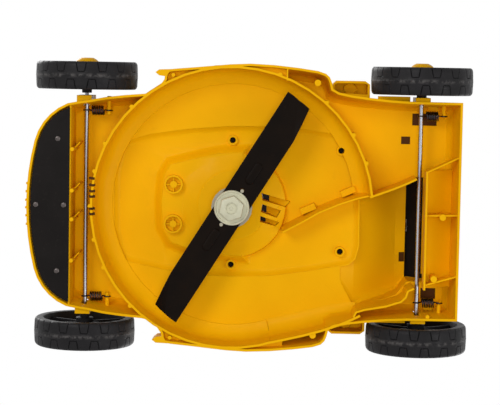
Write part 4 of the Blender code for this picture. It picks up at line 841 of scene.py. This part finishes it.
def skirt(name, outline, profile):
    """A closed moulding that runs round the outline. The profile is (distance outwards, z) pairs."""
    rings = [[at_axis(x, u, z) for x, u in grown(outline, distance)] for distance, z in profile]
    return grid_piece(name, rings, "deck_yellow", closed=True)


def lip_ceiling(above):
    """The height this far above the channel's ceiling near its lip, as a function of u."""
    def height(u):
        slope = LIP_SLOPE_BEFORE if u < LIP_BEND_U else LIP_SLOPE_AFTER
        return LIP_BEND_Z + (u - LIP_BEND_U) * slope + above

    return height


def make_deck():
    """The CAD deck's own mesh with its wall, ceiling edges and recesses as in the photograph."""
    deck = fine_copy("deck", "deck_yellow")
    deck.modifiers.clear()
    carve(deck, [chamber_sector()], "DIFFERENCE")
    added = [discharge_wall()]
    added += [prism_piece("window_fill", mirrored(OLD_WINDOW, sign), *REAR_SKIN) for sign in (1, -1)]
    added.append(prism_piece("lip_fill", OLD_LIP_WINDOW, lip_ceiling(0.0001), lip_ceiling(0.0032)))
    added.append(skirt("panel_edge", PANEL, PANEL_EDGE))
    added.append(skirt("plateau_edge", PLATEAU, PLATEAU_EDGE))
    carve(deck, added, "UNION")
    cuts = [prism_piece("recess", outline, *RECESS_CUT) for outline in RECESSES.values()]
    cuts.append(prism_piece("lip_recess", LIP_RECESS, lip_ceiling(-0.004), lip_ceiling(0.0022)))
    carve(deck, cuts, "DIFFERENCE")
    even_shading(deck)
    stand_for(deck, "deck", "housing")


# Blade, with its folded wings and stamped beads
BLADE_ANGLE = math.radians(31.9)
CAD_BLADE_ANGLE = math.radians(31.0)
BLADE_Z = 0.045
BLADE_THICKNESS = 0.003
BLADE_HALF_WIDTH = 0.0235
WING_LIFT = 0.0108
# Beads by where they start and end along the blade, with their rounded section
BEADS = ((0.042, 0.079), (-0.076, -0.038))
BEAD_END = 0.0072
BEAD_SECTION = ((0.0072, 0.0002), (0.0068, -0.0006), (0.006, -0.0014), (0.0048, -0.002), (0.0034, -0.0022))
BOLT_HOLE_RADIUS, PIN_HOLE_RADIUS, PIN_OFFSET = 0.0053, 0.003, 0.0295
HOLE_LOW, HOLE_HIGH = 0.04, 0.05


def blade_arm():
    """One arm of the blade along +X, from its middle out to the tip with the folded corner."""
    w = BLADE_HALF_WIDTH
    tip = (
        (0.19, -w, 0), (0.1895, -0.012, 0), (0.188, -0.0023, 0), (0.1872, 0.008, WING_LIFT * 0.52),
        (0.1858, 0.0172, WING_LIFT),
    )
    kink = (0.1325, w, 0)
    sheet = [(-0.001, -w, 0), *tip, (0.16, 0.0207, WING_LIFT * 0.52), kink, (-0.001, w, 0)]
    lower = [(x, y, BLADE_Z + z) for x, y, z in sheet]
    upper = [(x, y, z + BLADE_THICKNESS) for x, y, z in lower]
    count = len(sheet)
    flat = (0, 1, 2, 3, 7, 8)
    wing = ((3, 4, 6), (4, 5, 6), (3, 6, 7))
    faces = [flat, tuple(i + count for i in flat[::-1])]
    for face in wing:
        faces += [face, tuple(i + count for i in face[::-1])]
    for i in range(count):
        j = (i + 1) % count
        faces.append((i, j, j + count, i + count))
    return mesh_piece("blade_arm", lower + upper, faces, "blade_steel")


def bead_piece(start, end):
    """A stamped bead that stands down from the blade between two places along it."""
    rings = []
    for radius, z in BEAD_SECTION:
        ring = []
        for i in range(32):
            turn = math.tau * i / 32
            centre = end - BEAD_END if math.cos(turn) > 0 else start + BEAD_END
            ring.append((centre + radius * math.cos(turn), radius * math.sin(turn), BLADE_Z + z))
        rings.append(ring)
    return grid_piece("bead", rings, "blade_steel", capped=True)


def hole_piece(radius, steps):
    profile = ((0, HOLE_LOW), (radius, HOLE_LOW), (radius, HOLE_HIGH), (0, HOLE_HIGH))
    return turned_piece("hole", profile, steps, "blade_steel")


def make_blade():
    """Two arms in one piece, with its pin holes on the pins of the CAD's carrier."""
    blade, other = blade_arm(), blade_arm()
    other.matrix_world = Matrix.Rotation(math.pi, 4, "Z")
    bpy.context.view_layer.update()
    carve(blade, [other], "UNION", BLADE_SHARP)
    carve(blade, [bead_piece(start, end) for start, end in BEADS], "UNION", BLADE_SHARP)
    holes = [hole_piece(BOLT_HOLE_RADIUS, 32)]
    turn = CAD_BLADE_ANGLE - BLADE_ANGLE
    for side in (1, -1):
        hole = hole_piece(PIN_HOLE_RADIUS, 24)
        hole.location = polar(side * PIN_OFFSET, turn)
        holes.append(hole)
    bpy.context.view_layer.update()
    carve(blade, holes, "DIFFERENCE", BLADE_SHARP)
    round_edges(blade, 0.0004, 40)
    even_shading(blade)
    blade.name = "blade_detailed"
    blade.matrix_world = placed((0, BLADE_AXIS_Y, 0), BLADE_ANGLE, "Z")
    stand_for(blade, "blade", "rotor")


# What closes the deck's openings, the dark brown plates among it painted shade
CEILING_WINDOW = rectangle(0.097, 0.253, 0.1085, 0.2665)
FRONT_VENTS = (0.013, 0.021, 0.03, 0.04, -0.005, -0.013)
VENT_HALF_WIDTH, VENT_FRONT, VENT_REAR = 0.0019, -0.2128, -0.2037
OUTLET_EDGE = rectangle(-0.1, 0.2878, 0.048, 0.294)
POCKETS = {
    "front": (
        (0.1835, -0.1), (0.1965, -0.0985), (0.1997, -0.094), (0.2022, -0.073), (0.2054, -0.0505),
        (0.2072, -0.033), (0.2022, -0.053), (0.1965, -0.0711), (0.1899, -0.0873),
    ),
    "rear": (
        (0.2088, 0.01), (0.2112, 0.0411), (0.209, 0.0678), (0.2072, 0.079), (0.1931, 0.079),
        (0.1977, 0.0679), (0.2049, 0.0412), (0.2077, 0.0234),
    ),
}
SOCKET_CUP = (
    (0, 0), (0.0074, 0), (0.0083, 0.001), (0.0083, 0.011), (0.007, 0.011), (0.007, 0.0028),
    (0, 0.0028),
)
SOCKET_X, SOCKET_U, SOCKET_Z, SOCKET_STRETCH = 0.179, 0.1746, 0.115, 1.24
WHEEL_LEDGE = rectangle(0.16, 0.214, 0.1694, 0.262)


def make_painted_shade(name, outline, low, high):
    """A dark brown plate behind an opening, painted shade that stands for the shade inside it."""
    fixed_piece(prism_piece(name, outline, low, high, "painted_shade_brown"))


def make_plate(name, outline, low, high):
    fixed_piece(prism_piece(name, outline, low, high))


def make_window_covers():
    fitted = shrunk(CEILING_WINDOW, 0.985)
    # The dark brown plates are painted shade in the ceiling window, the recesses, the lip recess and the
    # front vents
    make_painted_shade("ceiling_window_shade", fitted, 0.1056, 0.1066)
    make_plate("ceiling_window_cover", fitted, 0.1066, 0.1083)
    for name, outline in RECESSES.items():
        make_painted_shade(f"{name}_shade", shrunk(outline, 0.98), *RECESS_SHADE)
    make_painted_shade("lip_recess_shade", shrunk(LIP_RECESS, 0.97), lip_ceiling(0.0012), lip_ceiling(0.002))
    for i, x in enumerate(FRONT_VENTS):
        outline = rectangle(x - VENT_HALF_WIDTH, VENT_FRONT, x + VENT_HALF_WIDTH, VENT_REAR)
        make_painted_shade(f"front_vent_{i + 1}_shade", outline, 0.044, 0.0468)
    make_plate("outlet_edge", OUTLET_EDGE, 0.105, 0.1082)
    for side, sign in SIDES.items():
        for name, outline in POCKETS.items():
            make_plate(f"{side}_{name}_pocket_floor", mirrored(outline, sign), 0.05, 0.0525)
        cup = turned_piece(f"{side}_handle_socket", SOCKET_CUP, 32, "deck_yellow", closed=True)
        cup.data.transform(Matrix.Diagonal((1, SOCKET_STRETCH, 1, 1)))
        cup.location = at_axis(sign * SOCKET_X, SOCKET_U, SOCKET_Z)
        fixed_piece(cup)
        make_plate(f"{side}_wheel_ledge", mirrored(WHEEL_LEDGE, sign), 0.058, 0.0615)


# The motor's air slots, each with a leaning louvre and a dark screen of painted shade, and the knobs between
# them
AIR_SLOTS = (
    ((0.02, 0.043), (0.006, 0.087), (-0.002, 0.08), (0.009, 0.045)),
    ((0.003, 0.045), (-0.007, 0.073), (-0.018, 0.067), (-0.009, 0.043)),
    ((-0.015, 0.042), (-0.025, 0.071), (-0.031, 0.065), (-0.024, 0.042)),
)
LOUVRE_EDGE = 0.26
LOUVRE_LOW, LOUVRE_RISE, LOUVRE_TOP = 0.1062, 0.0098, 0.1168
SLOT_KNOBS = ((-0.0022, 0.0701), (-0.0214, 0.0659))
KNOB_Z = 0.0945
KNOB = ((0, 0), (0.0017, 0.0002), (0.0022, 0.0008), (0.0022, 0.016), (0, 0.016))


def between(outline, corner, edge):
    """Where the outline's long side from this corner crosses u = edge."""
    x, u = corner
    far = outline[1] if outline.index(corner) == 0 else outline[2]
    share = (edge - u) / (far[1] - u)
    return (x + (far[0] - x) * share, edge)


def make_louvres():
    for i, outline in enumerate(AIR_SLOTS):
        fitted = shrunk(outline, 0.96)
        first, last = min(u for x, u in fitted), max(u for x, u in fitted)
        edge = first + LOUVRE_EDGE * (last - first)

        def slope(u):
            return LOUVRE_LOW + LOUVRE_RISE * (last - u) / (last - edge)

        # The black screen behind each slot is painted shade that makes the slot look dark inside
        screen = prism_piece(f"air_slot_painted_shade_{i + 1}", fitted, LOUVRE_TOP, 0.1174, "cover_black")
        fixed_piece(screen)
        kept = [(x, u) if u > edge else between(fitted, (x, u), edge) for x, u in fitted]
        make_plate(f"air_louvre_{i + 1}", kept, slope, LOUVRE_TOP)
    for i, (x, u) in enumerate(SLOT_KNOBS):
        knob = turned_piece(f"slot_knob_{i + 1}", KNOB, 16, "deck_yellow")
        knob.location = at_axis(x, u, KNOB_Z)
        fixed_piece(knob)


# Black trays of painted shade inside the motor cover: corners of their wall, foot and top, measured from its
# middle
COVER_MIDDLE_X = 0.004
COVER_SCREEN = (
    ((0.0874, -0.056, 0.147), (0.0884, 0.068, 0.191)),
    ((0.0878, -0.056, 0.147), (0.0984, 0.068, 0.148)),
    ((0.0878, -0.056, 0.19), (0.0932, 0.068, 0.191)),
)


def make_cover_screens():
    """Plain black painted shade for the cover's dark inside, so that nobody looks through the cover's slots
    and out at the other side.
    """
    for side, sign in SIDES.items():
        pieces = []
        for (x_low, u_low, z_low), (x_high, u_high, z_high) in COVER_SCREEN:
            first, last = sorted(COVER_MIDDLE_X + sign * x for x in (x_low, x_high))
            low, high = at_axis(first, u_low, z_low), at_axis(last, u_high, z_high)
            pieces.append(box_piece(f"{side}_cover_screen", low, high, 0, "cover_black"))
        carve(pieces[0], pieces[1:], "UNION")
        fixed_piece(pieces[0])


# Other pieces with their CAD shape, finer
GRIP_RIDGES = 9
GRIP_CORE = 0.93
RIM_CUT = ((-0.2, 0.344, 0.05), (0.2, 0.364, 0.2))
FINE_COPIES = (
    ("front_cover_plate", "black_plastic", 0.0004), ("motor_cover", "cover_black", 0.0006),
    ("discharge_flap", "black_plastic", 0.0004), ("blade_carrier", "carrier_grey", 0.0004),
)


def make_grip():
    """The carry handle, with ridges on its bar and a collar on each foot."""
    black = "black_plastic"
    low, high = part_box("carry_handle")
    radius = (high[0] - low[0]) / 2
    x, foot, top = middle("carry_handle").x, low[2], high[2] - radius
    near, far = low[1] + radius, high[1] - radius
    line = (
        (x, near, foot), (x, near, top - 0.014), (x, near + 0.003, top - 0.006), (x, near + 0.012, top),
        (x, near + 0.03, top), (x, far - 0.03, top), (x, far - 0.012, top), (x, far - 0.003, top - 0.006),
        (x, far, top - 0.014), (x, far, foot),
    )
    grip = tube_piece("carry_handle_detailed", fine_line(line, 5), radius * GRIP_CORE, 24, black)
    ridge_profile = (
        (radius * 0.9, -0.0016), (radius * 0.97, -0.0011), (radius, 0), (radius * 0.97, 0.0011),
        (radius * 0.9, 0.0016), (radius * 0.8, 0),
    )
    collar_profile = (
        (radius * 0.85, 0), (radius, 0), (radius, 0.003), (radius * 0.93, 0.0046),
        (radius * 0.85, 0.0046),
    )
    added = []
    for i in range(GRIP_RIDGES):
        y = near + 0.023 + (far - near - 0.046) * i / (GRIP_RIDGES - 1)
        ridge = turned_piece("ridge", ridge_profile, 24, black, closed=True)
        ridge.matrix_world = placed((x, y, top), math.pi / 2, "X")
        added.append(ridge)
    for y in (near, far):
        collar = turned_piece("collar", collar_profile, 24, black, closed=True)
        collar.location = (x, y, foot)
        added.append(collar)
    bpy.context.view_layer.update()
    carve(grip, added, "UNION", SOFT)
    stand_for(grip, "carry_handle", "housing")


def leg_height(node, lowest_y):
    """The height above the rod of the spring's leg that rests on the bar over the outlet."""
    heights = [vert.co.z for vert in NODES[node].data.vertices if vert.co.y < lowest_y + 0.0005]
    return (min(heights) + max(heights)) / 2 - middle("flap_rod").z


def make_flap_spring():
    """A coil about the flap's rod, with one leg on the bar over the outlet and one on the flap."""
    node, per_turn = "flap_spring", 24
    turns, pitch, radius, wire = 6, 0.0022, 0.0046, 0.0012
    gap, flap_drop, flap_thickness = 0.0003, 0.006, 0.003
    width = turns * pitch
    rod = middle("flap_rod")
    bar = leg_height(node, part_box(node)[0][1])
    points = [(-width / 2 - 0.002, -0.015, bar), (-width / 2 - 0.0015, -0.0095, bar)]
    for i in range(int((turns - 0.875) * per_turn) + 1):
        turn = math.pi / 2 - math.tau * i / per_turn
        points.append((-width / 2 + pitch * i / per_turn, radius * math.cos(turn), radius * math.sin(turn)))
    leg_x = points[-1][0] + 0.001
    slope = Matrix.Rotation(-math.pi / 4, 3, "X")
    rest = gap - flap_drop + flap_thickness + wire / 2 + gap
    points += [tuple(slope @ Vector((leg_x, along, rest))) for along in (0.012, 0.02)]
    line = [Vector(point) + rod for point in points]
    spring = tube_piece(f"{node}_detailed", line, wire / 2, 8, "spring_black")
    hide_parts(node)
    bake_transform(spring)


def make_fine_copies():
    """The flap's copy ends a little earlier than the CAD's, so that it doesn't show behind the rear rim."""
    bodies = frame["record"]["behaviour"]["bodies"]
    for node, slot, bevel in FINE_COPIES:
        body = next(name for name, nodes in bodies.items() if node in nodes)
        copy = fine_copy(node, slot, bevel)
        if node == "discharge_flap":
            past_rim = box_piece("past_rim", at_axis(*RIM_CUT[0]), at_axis(*RIM_CUT[1]), 0, slot)
            carve(copy, [past_rim], "DIFFERENCE")
            even_shading(copy)
        stand_for(copy, node, body)


def make_floor():
    """A pale floor that shows from above only, so that the camera under the mower looks past it."""
    mesh = bpy.data.meshes.new("floor")
    corners = [(x * FLOOR_REACH, y * FLOOR_REACH, 0) for x, y in ((-1, -1), (1, -1), (1, 1), (-1, 1))]
    mesh.from_pydata(corners, [], [(0, 1, 2, 3)])
    floor = add_object("floor", mesh)
    floor.location.z = -0.0005
    m = Nodes("floor")
    m.finish((0.8, 0.8, 0.79), 0.6)
    clear = m.add("ShaderNodeBsdfTransparent")
    behind = m.add("ShaderNodeNewGeometry").outputs["Backfacing"]
    mixed = m.add("ShaderNodeMixShader")
    for index, value in enumerate((behind, m.shader.outputs[0], clear.outputs[0])):
        m.set(mixed, index, value)
    m.tree.links.new(mixed.outputs[0], m.tree.nodes["Material Output"].inputs["Surface"])
    mesh.materials.append(m.material)
    floor.visible_shadow = floor.visible_diffuse = floor.visible_glossy = False


def make_world():
    """White where the camera or a reflection sees it, and dimmer where it lights the mower."""
    world = bpy.data.worlds.new("studio")
    bpy.context.scene.world = world
    world.use_nodes = True
    tree = world.node_tree
    background = tree.nodes["Background"]
    path = tree.nodes.new("ShaderNodeLightPath")

    def either(first, second):
        node = tree.nodes.new("ShaderNodeMath")
        node.operation = "MAXIMUM"
        tree.links.new(first, node.inputs[0])
        tree.links.new(second, node.inputs[1])
        return node.outputs[0]

    reflected = either(path.outputs["Is Glossy Ray"], path.outputs["Is Transmission Ray"])
    seen = either(path.outputs["Is Camera Ray"], reflected)
    strength = tree.nodes.new("ShaderNodeMapRange")
    strength.inputs["To Min"].default_value = WORLD_LIGHT
    strength.inputs["To Max"].default_value = WORLD_SEEN
    tree.links.new(seen, strength.inputs["Value"])
    tree.links.new(strength.outputs[0], background.inputs["Strength"])
    background.inputs["Color"].default_value = (1, 1, 1, 1)


make_camera()
make_world()
make_floor()
make_lamps()
colour_nodes()
make_wheels()
make_axles()
make_axle_springs()
make_screws()
make_bolt()
make_deck()
make_blade()
make_window_covers()
make_louvres()
make_cover_screens()
make_grip()
make_flap_spring()
make_fine_copies()
bpy.context.scene.view_settings.view_transform = "Standard"
